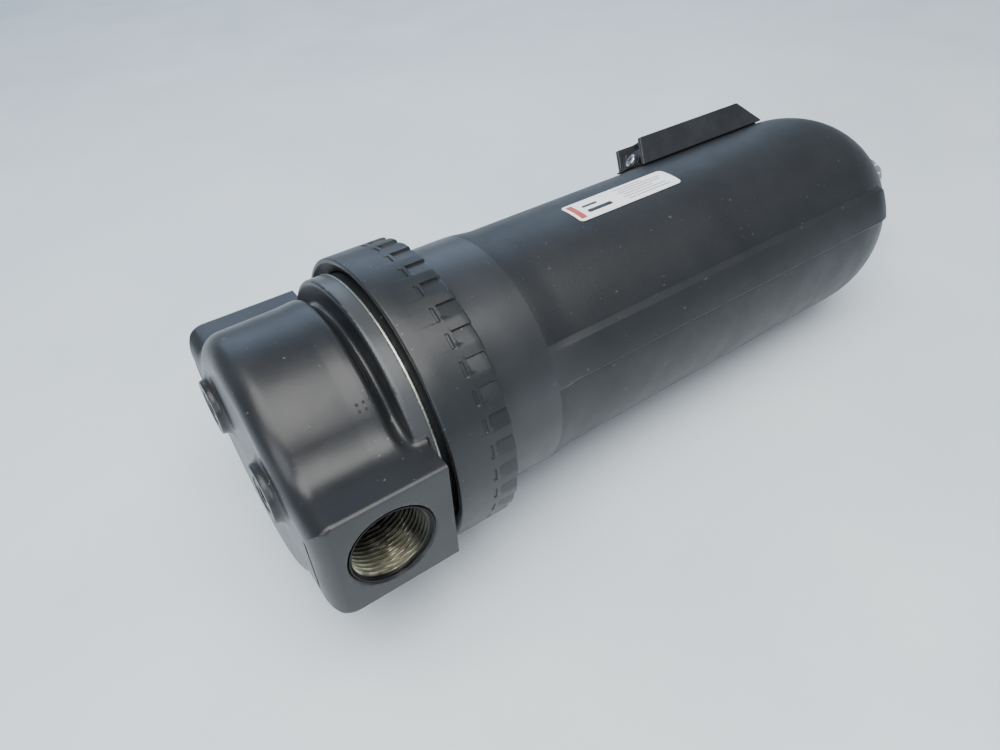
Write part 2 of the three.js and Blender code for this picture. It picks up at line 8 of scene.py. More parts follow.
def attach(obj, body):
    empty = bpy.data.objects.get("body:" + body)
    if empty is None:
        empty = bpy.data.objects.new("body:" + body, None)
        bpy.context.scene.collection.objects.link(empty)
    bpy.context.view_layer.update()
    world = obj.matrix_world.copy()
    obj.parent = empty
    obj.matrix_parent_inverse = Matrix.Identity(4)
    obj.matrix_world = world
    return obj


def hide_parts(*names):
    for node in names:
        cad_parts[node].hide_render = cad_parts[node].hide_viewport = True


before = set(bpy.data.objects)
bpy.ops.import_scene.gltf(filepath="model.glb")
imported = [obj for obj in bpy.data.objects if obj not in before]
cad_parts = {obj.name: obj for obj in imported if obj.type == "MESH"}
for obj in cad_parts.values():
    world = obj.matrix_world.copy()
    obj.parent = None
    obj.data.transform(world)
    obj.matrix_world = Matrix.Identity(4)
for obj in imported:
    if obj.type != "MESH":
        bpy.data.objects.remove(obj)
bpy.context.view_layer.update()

# Compressed air filter, lying on its side. All lengths below are millimetres and become metres in add_mesh().
# X runs along the bowl, the ports face -Y and +Y, and angles round the bowl go from +Y towards +Z.
MM = 0.001

PORT_FACE_Y = 70.0
PORT_DEPTH = 26.0
THREAD_PITCH = 2.209
THREAD_MAJOR_R = 16.7
THREAD_MINOR_R = 15.3
PORT_CHAMFER_R = 17.3
PASSAGE_R = 13.0
OUTLET_WALL = 3.5
ROD_HOLE_R = 4.3

HEAD_END_X = -27.2
HEAD_R = 53.0
HEAD_FILLET = 9.5
HEAD_BLEND = 9.0
BOSS_RIM = 2.4
CAST_ALLOWANCE = 0.7
BOSS_HALF_Z = 25.0
BOSS_END_X = 25.3
FLANGE_X = (21.0, 29.0)
FLANGE_R = 60.0
THREAD_LAND_R = 59.0
SKIRT_END_X = 50.0
SPIGOT_BORE_R = 51.0
CHAMBER_R = 46.0
CHAMBER_X = -16.0
CORE_R = 22.0
SEAT_X = 36.0
GAUGE_BOSS_YZ = (29.0, 11.0)
GAUGE_BOSS_R = 12.0
GAUGE_BOSS_FACE_X = -31.0
GAUGE_PORT_R = 6.9

COLLAR_X = (30.8, 58.3)
COLLAR_R = 66.0
GRIP_COUNT = 36
GRIP_FIRST_DEG = 5.5
GRIP_SWEEP_DEG = 6.0
GRIP_X = 49.3
GRIP_DEPTH = 1.05
SLIT_X = (46.3, 47.6)
SLIT_DEPTH = 0.5

NECK_R = 56.5
NECK_END_X = 87.5
BOWL_R = 55.0
BOWL_BORE_R = 50.5
DOME_X = 293.0
DOME_LENGTH = 58.0
RIB_DEG = (155.0, 335.0)
RIB_HALF_DEG = 10.0
RIB_R = 57.0
RIB_RISE_X = 112.0
RIB_X = (87.0, 316.0)
RIB_ROLL_X = 303.0
RIB_FOOT_R = 50.4
DRAIN_FACE_X = 352.0
DRAIN_TIP_X = 388.0
DRAIN_BORE_R = 9.3

GAUGE_DEG = 51.5
GAUGE_HALF_W = 11.0
GAUGE_INNER_W = 8.8
GAUGE_FOOT_X = 203.5
GAUGE_FOOT_H = 64.2
GAUGE_WALL_X = 206.0
GAUGE_BLOCK_X = 222.0
GAUGE_BEVEL_X = 283.0
GAUGE_END_X = 296.5
GAUGE_WALL_H = 54.8
GAUGE_TOP_H = 68.3
GAUGE_BASE_H = 56.4
GAUGE_PAD_H = 55.4
GAUGE_LEAN = 3.6
GAUGE_PAD_HALF_DEG = 8.5
UPPER_SCREW = (209.2, 58.8)
LOWER_SCREW = (289.6, 60.4)
SCREW_R = 2.0
SCREW_HEAD_R = 3.5
SCREW_LENGTH = 8.0
WINDOW_X = (230.0, 272.0)
WINDOW_HALF_W = 3.6
TUBE_BORE_X = (225.7, 276.3)
TUBE_BORE_R = 3.6
TUBE_H = 62.0

LABEL_X = (136.5, 198.5)
LABEL_DEG = (81.8, 98.0)
LABEL_R = 55.12
LABEL_THICK = 0.2
INK_R = LABEL_R + 0.21
INK_THICK = 0.03
MARK_X = (8.8, 11.4, 14.0)
MARK_DEG = (133.6, 136.4)
MARK_HALF_X = 0.55
MARK_HALF_DEG = 0.7


# ---------------------------------------------------------------- node materials
class Nodes:
    """A short way to write a node material."""

    def __init__(self, name):
        self.material = bpy.data.materials.new(name)
        self.material.use_nodes = True
        self.tree = self.material.node_tree
        self.shader = self.tree.nodes["Principled BSDF"]
        self.coords = self.tree.nodes.new("ShaderNodeTexCoord").outputs["Object"]

    def add(self, kind, inputs=None, **settings):
        node = self.tree.nodes.new("ShaderNode" + kind)
        for key, value in settings.items():
            setattr(node, key, value)
        for key, value in (inputs or {}).items():
            if isinstance(value, bpy.types.NodeSocket):
                self.tree.links.new(value, node.inputs[key])
            else:
                node.inputs[key].default_value = value
        return node

    def noise(self, size_mm, detail=3.0, rough=0.5, stretch=(1.0, 1.0, 1.0)):
        where = self.add("Mapping", {"Vector": self.coords, "Scale": stretch}).outputs[0]
        made = self.add("TexNoise", {"Vector": where, "Scale": 1.0 / (size_mm * MM), "Detail": detail,
                                     "Roughness": rough})
        return made.outputs["Fac"]

    def spread(self, value, low, high, out_low, out_high):
        made = self.add("MapRange", {"Value": value, "From Min": low, "From Max": high,
                                     "To Min": out_low, "To Max": out_high})
        return made.outputs["Result"]

    def mix(self, factor, a, b):
        made = self.add("Mix", data_type="RGBA")
        for socket, value in ((made.inputs[0], factor), (made.inputs[6], a), (made.inputs[7], b)):
            if isinstance(value, bpy.types.NodeSocket):
                self.tree.links.new(value, socket)
            else:
                socket.default_value = value
        return made.outputs[2]

    def combine(self, a, b, operation="ADD"):
        return self.add("Math", {0: a, 1: b}, operation=operation).outputs[0]

    def bump(self, height, distance_mm, strength=1.0, over=None):
        inputs = {"Height": height, "Distance": distance_mm * MM, "Strength": strength}
        if over is not None:
            inputs["Normal"] = over
        return self.add("Bump", inputs).outputs["Normal"]

    def finish(self, color=None, roughness=None, normal=None, **uniform):
        for key, value in (("Base Color", color), ("Roughness", roughness), ("Normal", normal)):
            if value is None:
                continue
            if isinstance(value, bpy.types.NodeSocket):
                self.tree.links.new(value, self.shader.inputs[key])
            else:
                self.shader.inputs[key].default_value = value
        for key, value in uniform.items():
            self.shader.inputs[key.replace("_", " ")].default_value = value
        return self.material


def paint(name, dark, light, roughness, grain_mm, grain_height, dust, highlight_fade=None):
    """Black paint: slow tone changes, fine grain, a few pale specks of dust and paler rubbed patches.

    The optional last argument is a painted highlight (tone, x from, x to): the paint goes over from that
    lighter tone to its own along X.
    """
    n = Nodes(name)
    tone = n.mix(n.spread(n.noise(38, 4), 0.35, 0.7, 0.0, 1.0), dark, light)
    if highlight_fade is not None:
        # Painted highlight: a lighter tone that fades out along X.
        along = n.add("SeparateXYZ", {"Vector": n.coords}).outputs["X"]
        tone = n.mix(n.spread(along, highlight_fade[1] * MM, highlight_fade[2] * MM, 0.0, 1.0), highlight_fade[0], tone)
    specks = n.spread(n.noise(1.7, 1, 0.3), 0.775, 0.80, 0.0, dust)
    rubbed = n.spread(n.noise(9, 6, 0.7, (0.35, 1.0, 1.0)), 0.68, 0.85, 0.0, 0.12)
    tone = n.mix(n.combine(specks, rubbed, "MAXIMUM"), tone, (0.16, 0.17, 0.18, 1))
    rough = n.combine(n.spread(n.noise(14, 5), 0.3, 0.7, roughness - 0.05, roughness + 0.05), rubbed)
    grain = n.bump(n.noise(grain_mm, 2, 0.55), grain_height)
    casting = n.bump(n.noise(11, 3, 0.5), 0.10, 1.0, grain)
    return n.finish(tone, rough, casting, Specular_IOR_Level=0.48, Coat_Weight=0.09, Coat_Roughness=0.26)


def metal(name, low, high, roughness, brush=(1.0, 1.0, 1.0), grain_mm=0.9):
    """Bare or plated metal with fine tool marks and slight tarnish."""
    n = Nodes(name)
    tarnish = n.spread(n.noise(7, 5, 0.6), 0.35, 0.7, 0.0, 1.0)
    rough = n.spread(n.noise(grain_mm, 3, 0.6, brush), 0.3, 0.7, roughness - 0.08, roughness + 0.1)
    marks = n.bump(n.noise(grain_mm, 2, 0.5, brush), 0.02)
    return n.finish(n.mix(tarnish, low, high), rough, marks, Metallic=1.0)


def plain(name, low, high, roughness, grain_mm, grain_height, patch_mm=12.0, **uniform):
    """Plastic, rubber, paper and fibre: two close tones, a grain and uneven gloss."""
    n = Nodes(name)
    tone = n.mix(n.spread(n.noise(patch_mm, 4), 0.35, 0.7, 0.0, 1.0), low, high)
    rough = n.spread(n.noise(patch_mm / 3, 4), 0.3, 0.7, roughness - 0.06, roughness + 0.06)
    return n.finish(tone, rough, n.bump(n.noise(grain_mm, 3, 0.6), grain_height), **uniform)


def thread_metal(name):
    """Bare aluminium thread: black with paint at its mouth and in patches, with painted shade on its upper
    side and deep inside.
    """
    n = Nodes(name)
    patches = n.spread(n.noise(5, 5, 0.6), 0.35, 0.7, 0.0, 1.0)
    tarnish = n.mix(patches, (0.26, 0.25, 0.17, 1), (0.50, 0.48, 0.36, 1))
    place = n.add("SeparateXYZ", {"Vector": n.coords}).outputs
    depth = n.combine(place["Y"], 0.0, "ABSOLUTE")
    height = n.combine(n.combine(place["X"], 0.55, "MULTIPLY"), place["Z"])
    # Painted shade: the bare metal is darkened on the upper side of the bore, away from the light.
    upper = n.spread(height, -14.0 * MM, -4.0 * MM, 0.0, 0.9)
    mouth = n.spread(depth, (PORT_FACE_Y - 2.6) * MM, (PORT_FACE_Y - 1.8) * MM, 0.0, 1.0)
    # Painted shade: the bare metal is darker deep inside the bore.
    painted_shade_deep = n.spread(depth, (PORT_FACE_Y - 20.0) * MM, (PORT_FACE_Y - 6.0) * MM, 0.85, 0.0)
    overspray_and_painted_shade = n.spread(n.noise(7, 3), 0.5, 0.75, 0.0, 0.8)
    # The painted shade joins the overspray patches and the paint at the mouth in darkening the bare metal.
    for part in (mouth, painted_shade_deep, upper):
        overspray_and_painted_shade = n.combine(overspray_and_painted_shade, part, "MAXIMUM")
    return n.finish(n.mix(overspray_and_painted_shade, tarnish, (0.014, 0.014, 0.014, 1)),
                    n.spread(n.noise(1.0, 3), 0.3, 0.7, 0.28, 0.44),
                    n.bump(n.noise(0.5, 2), 0.02), Metallic=0.8)


BOWL_TONES = ((0.009, 0.010, 0.012, 1), (0.014, 0.016, 0.018, 1))
# Painted highlight on the rib ramps: a lighter tone at the neck end that fades into the bowl paint by the top
# of the ramp.
RIB_PAINTED_HIGHLIGHT = ((0.027, 0.029, 0.032, 1), NECK_END_X - 2.0, RIB_RISE_X)

# Two tones, roughness, grain size and height in millimetres, dust, and for the ribs the painted highlight that
# fades out from the neck end.
PAINTS = {
    "head_paint": ((0.011, 0.012, 0.014, 1), (0.018, 0.020, 0.022, 1), 0.36, 0.7, 0.035, 0.6),
    # The flange rim paint is a lighter copy of the head paint: a painted highlight.
    "flange_paint": ((0.040, 0.044, 0.048, 1), (0.060, 0.064, 0.068, 1), 0.36, 0.7, 0.03, 0.5),
    "collar_paint": ((0.012, 0.014, 0.016, 1), (0.018, 0.021, 0.023, 1), 0.40, 0.8, 0.03, 0.5),
    # The neck paint is a lighter copy of the bowl paint: a painted highlight on the neck.
    "bowl_neck_paint": ((0.022, 0.024, 0.027, 1), (0.032, 0.035, 0.038, 1), 0.38, 0.6, 0.03, 0.3),
    "bowl_paint": (*BOWL_TONES, 0.47, 0.5, 0.14, 0.4),
    "bowl_rib_paint": (*BOWL_TONES, 0.45, 0.5, 0.12, 0.4, RIB_PAINTED_HIGHLIGHT),
}
# Two tones, roughness, and for the brushed edge the stretch and size of its marks.
METALS = {
    "steel": ((0.50, 0.51, 0.52, 1), (0.66, 0.67, 0.68, 1), 0.3),
    "bright_edge": ((0.42, 0.42, 0.36, 1), (0.70, 0.70, 0.62, 1), 0.34, (0.2, 1, 1), 1.5),
    "brass": ((0.50, 0.36, 0.14, 1), (0.68, 0.52, 0.26, 1), 0.3),
    "nickel": ((0.72, 0.71, 0.69, 1), (0.86, 0.85, 0.83, 1), 0.32),
}
# Two tones, roughness, grain size and height in millimetres, and the size of the tone patches.
PLAINS = {
    "black_plastic": ((0.014, 0.015, 0.017, 1), (0.022, 0.024, 0.027, 1), 0.42, 0.5, 0.04),
    "white_plastic": ((0.66, 0.66, 0.62, 1), (0.74, 0.74, 0.70, 1), 0.45, 0.8, 0.02),
    "rubber": ((0.010, 0.010, 0.010, 1), (0.020, 0.020, 0.021, 1), 0.75, 0.4, 0.03),
    "fibre": ((0.20, 0.14, 0.09, 1), (0.34, 0.26, 0.18, 1), 0.85, 0.6, 0.06, 4.0),
    "media": ((0.60, 0.54, 0.40, 1), (0.72, 0.67, 0.52, 1), 0.9, 0.5, 0.12, 6.0),
    "label": ((0.88, 0.89, 0.90, 1), (0.94, 0.94, 0.94, 1), 0.38, 1.5, 0.015, 20.0),
    "label_ink": ((0.012, 0.012, 0.014, 1), (0.02, 0.02, 0.022, 1), 0.4, 0.8, 0.01),
    "label_accent": ((0.42, 0.05, 0.04, 1), (0.50, 0.08, 0.06, 1), 0.4, 0.8, 0.01),
    "label_grey": ((0.22, 0.23, 0.25, 1), (0.30, 0.31, 0.33, 1), 0.4, 0.8, 0.01),
}
MATERIALS = {"thread": thread_metal("thread")}
for finish, table in ((paint, PAINTS), (metal, METALS), (plain, PLAINS)):
    for name, values in table.items():
        MATERIALS[name] = finish(name, *values)
MATERIALS["clear"] = plain("clear", (0.82, 0.90, 0.92, 1), (0.88, 0.95, 0.96, 1), 0.1, 3.0, 0.01,
                           Transmission_Weight=0.9, IOR=1.47)


# ---------------------------------------------------------------- meshes
def add_mesh(name, verts, faces, look, body, slot, stands_for=(), sharp_deg=38.0):
    """A piece from points in millimetres. faces is a list of corner lists or an array of quads."""
    mesh = bpy.data.meshes.new(name)
    corners = faces.tolist() if isinstance(faces, np.ndarray) else faces
    mesh.from_pydata((np.asarray(verts) * MM).tolist(), [], corners)
    mesh.validate()
    mesh.polygons.foreach_set("use_smooth", [True] * len(mesh.polygons))
    mesh.set_sharp_from_angle(angle=math.radians(sharp_deg))
    mesh.materials.append(MATERIALS[look])
    piece = bpy.data.objects.new(name, mesh)
    bpy.context.scene.collection.objects.link(piece)
    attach(piece, body)
    if stands_for:
        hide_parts(*stands_for)
    return piece


def round_corners(points, steps=4):
    """A closed outline with each corner (x, r, fillet) rounded. A missing fillet leaves the corner sharp."""
    out = []
    count = len(points)
    for i, point in enumerate(points):
        corner = np.array(point[:2], float)
        fillet = point[2] if len(point) > 2 else 0.0
        if fillet == 0.0:
            out.append(corner)
            continue
        before = np.array(points[i - 1][:2], float) - corner
        after = np.array(points[(i + 1) % count][:2], float) - corner
        u = before / np.linalg.norm(before)
        v = after / np.linalg.norm(after)
        half = math.acos(float(np.clip(u @ v, -1, 1))) / 2
        reach = fillet / math.tan(half)
        centre = corner + (u + v) / np.linalg.norm(u + v) * fillet / math.sin(half)
        start = corner + u * reach - centre
        end = corner + v * reach - centre
        for k in range(steps + 1):
            t = k / steps
            angle = math.pi - 2 * half
            w0 = math.sin((1 - t) * angle) / math.sin(angle)
            w1 = math.sin(t * angle) / math.sin(angle)
            out.append(centre + start * w0 + end * w1)
    return np.array(out)


def refine(outline, longest):
    """Splits long runs of a closed outline so that no step is longer than the given length."""
    out = []
    for a, b in zip(outline, np.roll(outline, -1, axis=0)):
        parts = max(1, int(math.ceil(np.linalg.norm(b - a) / longest)))
        out.extend(a + (b - a) * k / parts for k in range(parts))
    return np.array(out)


def ring_quads(rows, cols):
    """Quads for rows by cols points, closed on itself both ways."""
    i = np.arange(rows)[:, None]
    j = np.arange(cols)[None, :]
    i2, j2 = (i + 1) % rows, (j + 1) % cols
    corners = (i * cols + j, i2 * cols + j, i2 * cols + j2, i * cols + j2)
    return np.stack(np.broadcast_arrays(*corners), axis=-1).reshape(-1, 4)


def turned(name, outline, look, body, slot, stands_for=(), segments=96, angles=None, shape=None,
           sharp_deg=38.0):
    """A closed (x, r) outline turned round the X axis. shape(x, r, angle) may move the radius."""
    if angles is None:
        angles = np.arange(segments) * 360.0 / segments
    angles = np.radians(np.asarray(angles))
    x = np.repeat(outline[:, 0][:, None], len(angles), axis=1)
    r = np.repeat(outline[:, 1][:, None], len(angles), axis=1)
    a = np.repeat(angles[None, :], len(outline), axis=0)
    if shape is not None:
        r = shape(x, r, np.degrees(a))
    verts = np.stack([x, r * np.cos(a), r * np.sin(a)], axis=-1).reshape(-1, 3)
    quads = ring_quads(len(outline), len(angles))
    area = np.sum(outline[:, 0] * np.roll(outline[:, 1], -1) - np.roll(outline[:, 0], -1) * outline[:, 1])
    if area >= 0:
        quads = quads[:, ::-1]
    return add_mesh(name, verts, quads, look, body, slot, stands_for, sharp_deg)


# ---------------------------------------------------------------- solids from distance fields
def smooth_union(a, b, k):
    """Both solids, with the inner corner between them filled over about k millimetres."""
    h = np.maximum(k - np.abs(a - b), 0.0) / k
    return np.minimum(a, b) - h * h * k * 0.25


def smooth_cut(a, b, k):
    """a without b, with the edge between them eased over about k millimetres."""
    return -smooth_union(-a, b, k)


def cut(a, b):
    """a without b."""
    return np.maximum(a, -b)


def box_field(p, lo, hi, radius=0.0):
    """A box from corner to corner, with rounded edges."""
    lo, hi = np.array(lo), np.array(hi)
    q = np.abs(p - (lo + hi) / 2) - (hi - lo) / 2 + radius
    outside = np.linalg.norm(np.maximum(q, 0.0), axis=-1)
    return outside + np.minimum(q.max(axis=-1), 0.0) - radius


def rod_field(p, axis, lo, hi, radius, centre=(0.0, 0.0), rounding=0.0):
    """A cylinder along one axis (0, 1 or 2), between lo and hi."""
    others = [i for i in range(3) if i != axis]
    away = np.hypot(p[..., others[0]] - centre[0], p[..., others[1]] - centre[1])
    q = np.stack([away - radius, np.abs(p[..., axis] - (lo + hi) / 2) - (hi - lo) / 2], axis=-1) + rounding
    return np.linalg.norm(np.maximum(q, 0.0), axis=-1) + np.minimum(q.max(axis=-1), 0.0) - rounding


def cone_field(p, axis, start, start_r, slope, centre=(0.0, 0.0)):
    """Inside a cone whose radius is start_r at start and grows by slope per millimetre along +axis."""
    others = [i for i in range(3) if i != axis]
    away = np.hypot(p[..., others[0]] - centre[0], p[..., others[1]] - centre[1])
    return (away - start_r - slope * (p[..., axis] - start)) / math.hypot(1.0, slope)


def hex_field(p, axis, lo, hi, across, centre=(0.0, 0.0)):
    """A hexagonal bar along one axis, measured across its flats."""
    others = [i for i in range(3) if i != axis]
    u = p[..., others[0]] - centre[0]
    v = p[..., others[1]] - centre[1]
    sides = [np.abs(u * math.cos(t) + v * math.sin(t)) for t in (0.0, math.pi / 3, 2 * math.pi / 3)]
    flat = np.max(sides, axis=0) - across / 2
    return np.maximum(flat, np.abs(p[..., axis] - (lo + hi) / 2) - (hi - lo) / 2)


def contour(field, lo, hi, cell):
    """Turns a distance field into a closed quad mesh that keeps its sharp edges (dual contouring)."""
    lo = np.array(lo, float)
    counts = np.ceil((np.array(hi, float) - lo) / cell).astype(int) + 1
    grids = np.meshgrid(*[lo[i] + cell * np.arange(counts[i]) for i in range(3)], indexing="ij")
    points = np.stack(grids, axis=-1)
    values = np.empty(points.shape[:3])
    for i in range(counts[0]):
        values[i] = field(points[i])
    inside = values < 0
    cells = counts - 1
    strides = np.array([cells[1] * cells[2], cells[2], 1])
    crossings, owners, quads = [], [], []
    for axis in range(3):
        u, v = [i for i in range(3) if i != axis]
        near = [slice(None)] * 3
        far = [slice(None)] * 3
        near[axis], far[axis] = slice(0, -1), slice(1, None)
        change = inside[tuple(near)] != inside[tuple(far)]
        change_index = np.argwhere(change)
        keep = np.all((change_index[:, [u, v]] > 0) & (change_index[:, [u, v]] < counts[[u, v]] - 1), axis=1)
        change_index = change_index[keep]
        ahead = change_index.copy()
        ahead[:, axis] += 1
        v0 = values[tuple(change_index.T)]
        v1 = values[tuple(ahead.T)]
        base = lo + cell * change_index
        base[:, axis] += cell * v0 / (v0 - v1)
        ring = []
        for du, dv in ((-1, -1), (0, -1), (0, 0), (-1, 0)):
            owner = change_index.copy()
            owner[:, u] += du
            owner[:, v] += dv
            ring.append(owner @ strides)
            crossings.append(base)
            owners.append(ring[-1])
        quad = np.stack(ring, axis=-1)
        flip = (v0 < 0) ^ (axis == 1)
        quad[~flip] = quad[~flip][:, ::-1]
        quads.append(quad)
    crossings = np.concatenate(crossings)
    owners = np.concatenate(owners)
    quads = np.concatenate(quads)
    step = cell * 0.02
    normals = np.empty_like(crossings)
    for axis in range(3):
        offset = np.zeros(3)
        offset[axis] = step
        normals[:, axis] = field(crossings + offset) - field(crossings - offset)
    normals /= np.maximum(np.linalg.norm(normals, axis=1), 1e-9)[:, None]
    used, index = np.unique(owners, return_inverse=True)
    total = np.bincount(index).astype(float)
    mass = np.stack([np.bincount(index, crossings[:, k]) / total for k in range(3)], axis=-1)
    local = crossings - mass[index]
    along = np.sum(normals * local, axis=1)
    ata = np.empty((len(used), 3, 3))
    atb = np.empty((len(used), 3))
    for a in range(3):
        atb[:, a] = np.bincount(index, normals[:, a] * along)
        for b in range(3):
            ata[:, a, b] = np.bincount(index, normals[:, a] * normals[:, b])
    ata += np.eye(3) * 0.04
    shift = np.linalg.solve(ata, atb[..., None])[..., 0]
    verts = mass + np.clip(shift, -cell, cell)
    return verts, np.searchsorted(used, quads)


def field_piece(name, field, lo, hi, cell, look, body, slot, stands_for, turn=None):
    """A piece made from a distance field inside the box from lo to hi, optionally turned into place."""
    verts, quads = contour(field, lo, hi, cell)
    if turn is not None:
        verts = verts @ np.array(turn).T
    return add_mesh(name, verts, quads, look, body, slot, stands_for, sharp_deg=32.0)


# ---------------------------------------------------------------- head casting
def head_outline_radius(x):
    """Radius of the round body and the groove in front of the flange."""
    stops_x = [-40.0, 6.0, 12.0, 14.2, 15.4, 16.4, 17.2, 18.2, 19.4, 20.6, 22.0]
    stops_r = [HEAD_R, HEAD_R + 0.7, HEAD_R + 1.2, HEAD_R + 1.2, HEAD_R + 0.8, HEAD_R - 0.2, HEAD_R - 1.9,
               HEAD_R - 3.2, HEAD_R - 3.6, HEAD_R - 3.6, HEAD_R - 3.6]
    return np.interp(x, stops_x, stops_r)


def rounded_corner(a, b, radius):
    """The solid that is inside both a and b, with the edge between them rounded."""
    q = np.stack([a, b], axis=-1) + radius
    return np.linalg.norm(np.maximum(q, 0.0), axis=-1) + np.minimum(q.max(axis=-1), 0.0) - radius


def gauge_axis(sign):
    """Y and Z of a gauge boss on the closed end: -1 is next to the inlet and 1 next to the outlet."""
    return (sign * GAUGE_BOSS_YZ[0], GAUGE_BOSS_YZ[1])


def head_field(p):
    """The head casting: round body, port boss, gauge bosses, flange and skirt, less the bores and passages."""
    x = p[..., 0]
    away = np.hypot(p[..., 1], p[..., 2])
    side = away - head_outline_radius(x)
    cast_face = np.abs(p[..., 1]) - PORT_FACE_Y - CAST_ALLOWANCE
    boss = rounded_corner(np.abs(p[..., 2]) - BOSS_HALF_Z, cast_face, BOSS_RIM)
    section = smooth_union(side, boss, HEAD_BLEND)
    outside = rounded_corner(section, HEAD_END_X - x, HEAD_FILLET)
    for sign in (-1.0, 1.0):
        gauge_boss = rod_field(p, 0, GAUGE_BOSS_FACE_X, HEAD_END_X + 6.0, GAUGE_BOSS_R, gauge_axis(sign), 0.6)
        outside = smooth_union(outside, gauge_boss, 4.0)
    outside = np.maximum(outside, x - BOSS_END_X)
    outside = np.maximum(outside, np.abs(p[..., 1]) - PORT_FACE_Y)
    flange = rod_field(p, 0, FLANGE_X[0], FLANGE_X[1], FLANGE_R)
    flange = np.maximum(flange, rounded_corner(away - FLANGE_R, FLANGE_X[0] - x, 1.6))
    outside = smooth_union(outside, flange, 2.4)
    skirt = np.maximum(away - THREAD_LAND_R, np.maximum(28.0 - x, x - SKIRT_END_X))
    outside = np.minimum(outside, skirt)
    chamber = np.maximum(away - CHAMBER_R, CHAMBER_X - x)
    spigot = np.maximum(away - SPIGOT_BORE_R, 24.0 - x)
    core = np.maximum(away - CORE_R, x - SEAT_X)
    hollow = cut(np.minimum(chamber, spigot), core)
    solid = smooth_cut(outside, hollow, 1.0)
    outlet_wall = rod_field(p, 1, 10.0, 50.0, PASSAGE_R + OUTLET_WALL)
    solid = np.minimum(solid, np.maximum(outlet_wall, -(away - CORE_R)))
    for sign in (-1.0, 1.0):
        depth = PORT_FACE_Y - sign * p[..., 1]
        port_away = np.hypot(x, p[..., 2])
        bore = np.maximum(port_away - THREAD_MAJOR_R - 0.25, depth - PORT_DEPTH)
        mouth = (port_away - PORT_CHAMFER_R - 0.9 + depth * 0.9) / 1.35
        solid = cut(solid, np.minimum(bore, mouth))
        plug_bore = rod_field(p, 0, -40.0, -12.0, GAUGE_PORT_R, gauge_axis(sign))
        plug_mouth = cone_field(p, 0, GAUGE_BOSS_FACE_X, GAUGE_PORT_R + 1.0, -1.0, gauge_axis(sign))
        plug_bore = np.minimum(plug_bore, np.maximum(plug_mouth, x + 28.0))
        slot = box_field(p, (-40.0, sign * 60.0 - 0.8, -13.0), (HEAD_END_X + 1.5, sign * 60.0 + 0.8, 13.0))
        solid = cut(cut(solid, plug_bore), slot)
    outlet = rod_field(p, 1, 0.0, 60.0, PASSAGE_R)
    inlet = rod_field(p, 1, -60.0, -CORE_R - 1.0, PASSAGE_R)
    centre_bore = rod_field(p, 0, -1.0, 60.0, PASSAGE_R)
    rod_hole = rod_field(p, 0, -23.0, 0.0, ROD_HOLE_R)
    for opening in (outlet, inlet, centre_bore, rod_hole):
        solid = cut(solid, opening)
    return solid


HEAD_CELL = 0.8
head = field_piece("head_shell", head_field, (-33.1, -72.3, -62.7), (52.3, 72.4, 62.6), HEAD_CELL,
                   "head_paint", "head", "head_paint", ("head_casting",))
# The flange rim takes a lighter copy of the head paint: a painted highlight where the rim faces the light.
head.data.materials.append(MATERIALS["flange_paint"])
for polygon in head.data.polygons:
    across = math.hypot(polygon.center.y, polygon.center.z)
    on_rim = (FLANGE_R - 0.4) * MM < across < (FLANGE_R + 0.2) * MM
    if on_rim and polygon.center.x > (FLANGE_X[0] + 1.0) * MM:
        polygon.material_index = 1


def add_port_thread(name, sign):
    """The cut thread of a pipe port, as a closed sleeve set slightly into the wall of the casting's bore."""
    columns = 120
    taper = 1.0 / 32.0
    depths = np.linspace(0.35, PORT_DEPTH - 0.4, 140)
    angles = np.arange(columns) * 2 * math.pi / columns
    u = depths[:, None]
    phase = (u / THREAD_PITCH - angles[None, :] / (2 * math.pi)) % 1.0
    groove = np.clip((0.5 - np.abs(phase - 0.5)) / 0.42 - 0.1, 0.0, 1.0)
    radius = THREAD_MINOR_R + (THREAD_MAJOR_R - THREAD_MINOR_R) * groove - u * taper
    mouth_r = THREAD_MAJOR_R + 0.2
    lead_in = mouth_r - np.clip(u / 2.2, 0.0, 1.0) * (mouth_r - THREAD_MINOR_R)
    radius = np.maximum(radius, lead_in)
    outer_r = THREAD_MAJOR_R + 0.5
    radius = np.vstack([radius, np.full((2, columns), outer_r)])
    u = np.append(depths, [depths[-1], depths[0]])[:, None]
    verts = np.stack([radius * np.cos(angles), np.broadcast_to(sign * (PORT_FACE_Y - u), radius.shape),
                      radius * np.sin(angles)], axis=-1)
    quads = ring_quads(len(radius), columns)
    if sign > 0:
        quads = quads[:, ::-1]
    return add_mesh(name, verts.reshape(-1, 3), quads, "thread", "head", "head_paint", sharp_deg=25.0)


add_port_thread("inlet_thread", -1.0)
add_port_thread("outlet_thread", 1.0)


def turned_piece(name, points, look, body, slot, stands_for, segments):
    """A plain turned piece from (x, r, fillet) corners."""
    return turned(name, round_corners(points), look, body, slot, stands_for, segments)


# The edge of the flange is turned after painting, so a thin ring of it shows bare metal.
turned_piece("flange_bare_edge", [(28.3, 58.6), (28.3, 60.04, 0.1), (29.3, 60.04, 0.3), (29.3, 58.6)],
             "bright_edge", "head", "head_paint", (), 180)


def plug_field(axis):
    """A headless plug with a hexagon socket, sunk flush into its boss."""
    face = GAUGE_BOSS_FACE_X + 0.3

    def field(p):
        body = rod_field(p, 0, face, face + 11.7, GAUGE_PORT_R - 0.3, axis, 0.5)
        socket = hex_field(p, 0, face - 6.0, face + 7.0, 6.5, axis)
        lead_in = cone_field(p, 0, face, 4.1, -1.0, axis)
        return cut(cut(body, socket), lead_in)
    return field


for label, sign in (("inlet", -1.0), ("outlet", 1.0)):
    y, z = gauge_axis(sign)
    lo, hi = (-31.9, y - 8.3, z - 8.2), (-17.6, y + 8.2, z + 8.3)
    field_piece(f"plug_{label}", plug_field((y, z)), lo, hi, 0.4,
                "head_paint", "head", "head_paint", (f"gauge_port_plug_{label}",))


# ---------------------------------------------------------------- lock collar
def step(value, edge, width):
    """Goes from 0 to 1 over the given width round an edge."""
    return np.clip((value - edge) / width + 0.5, 0.0, 1.0)


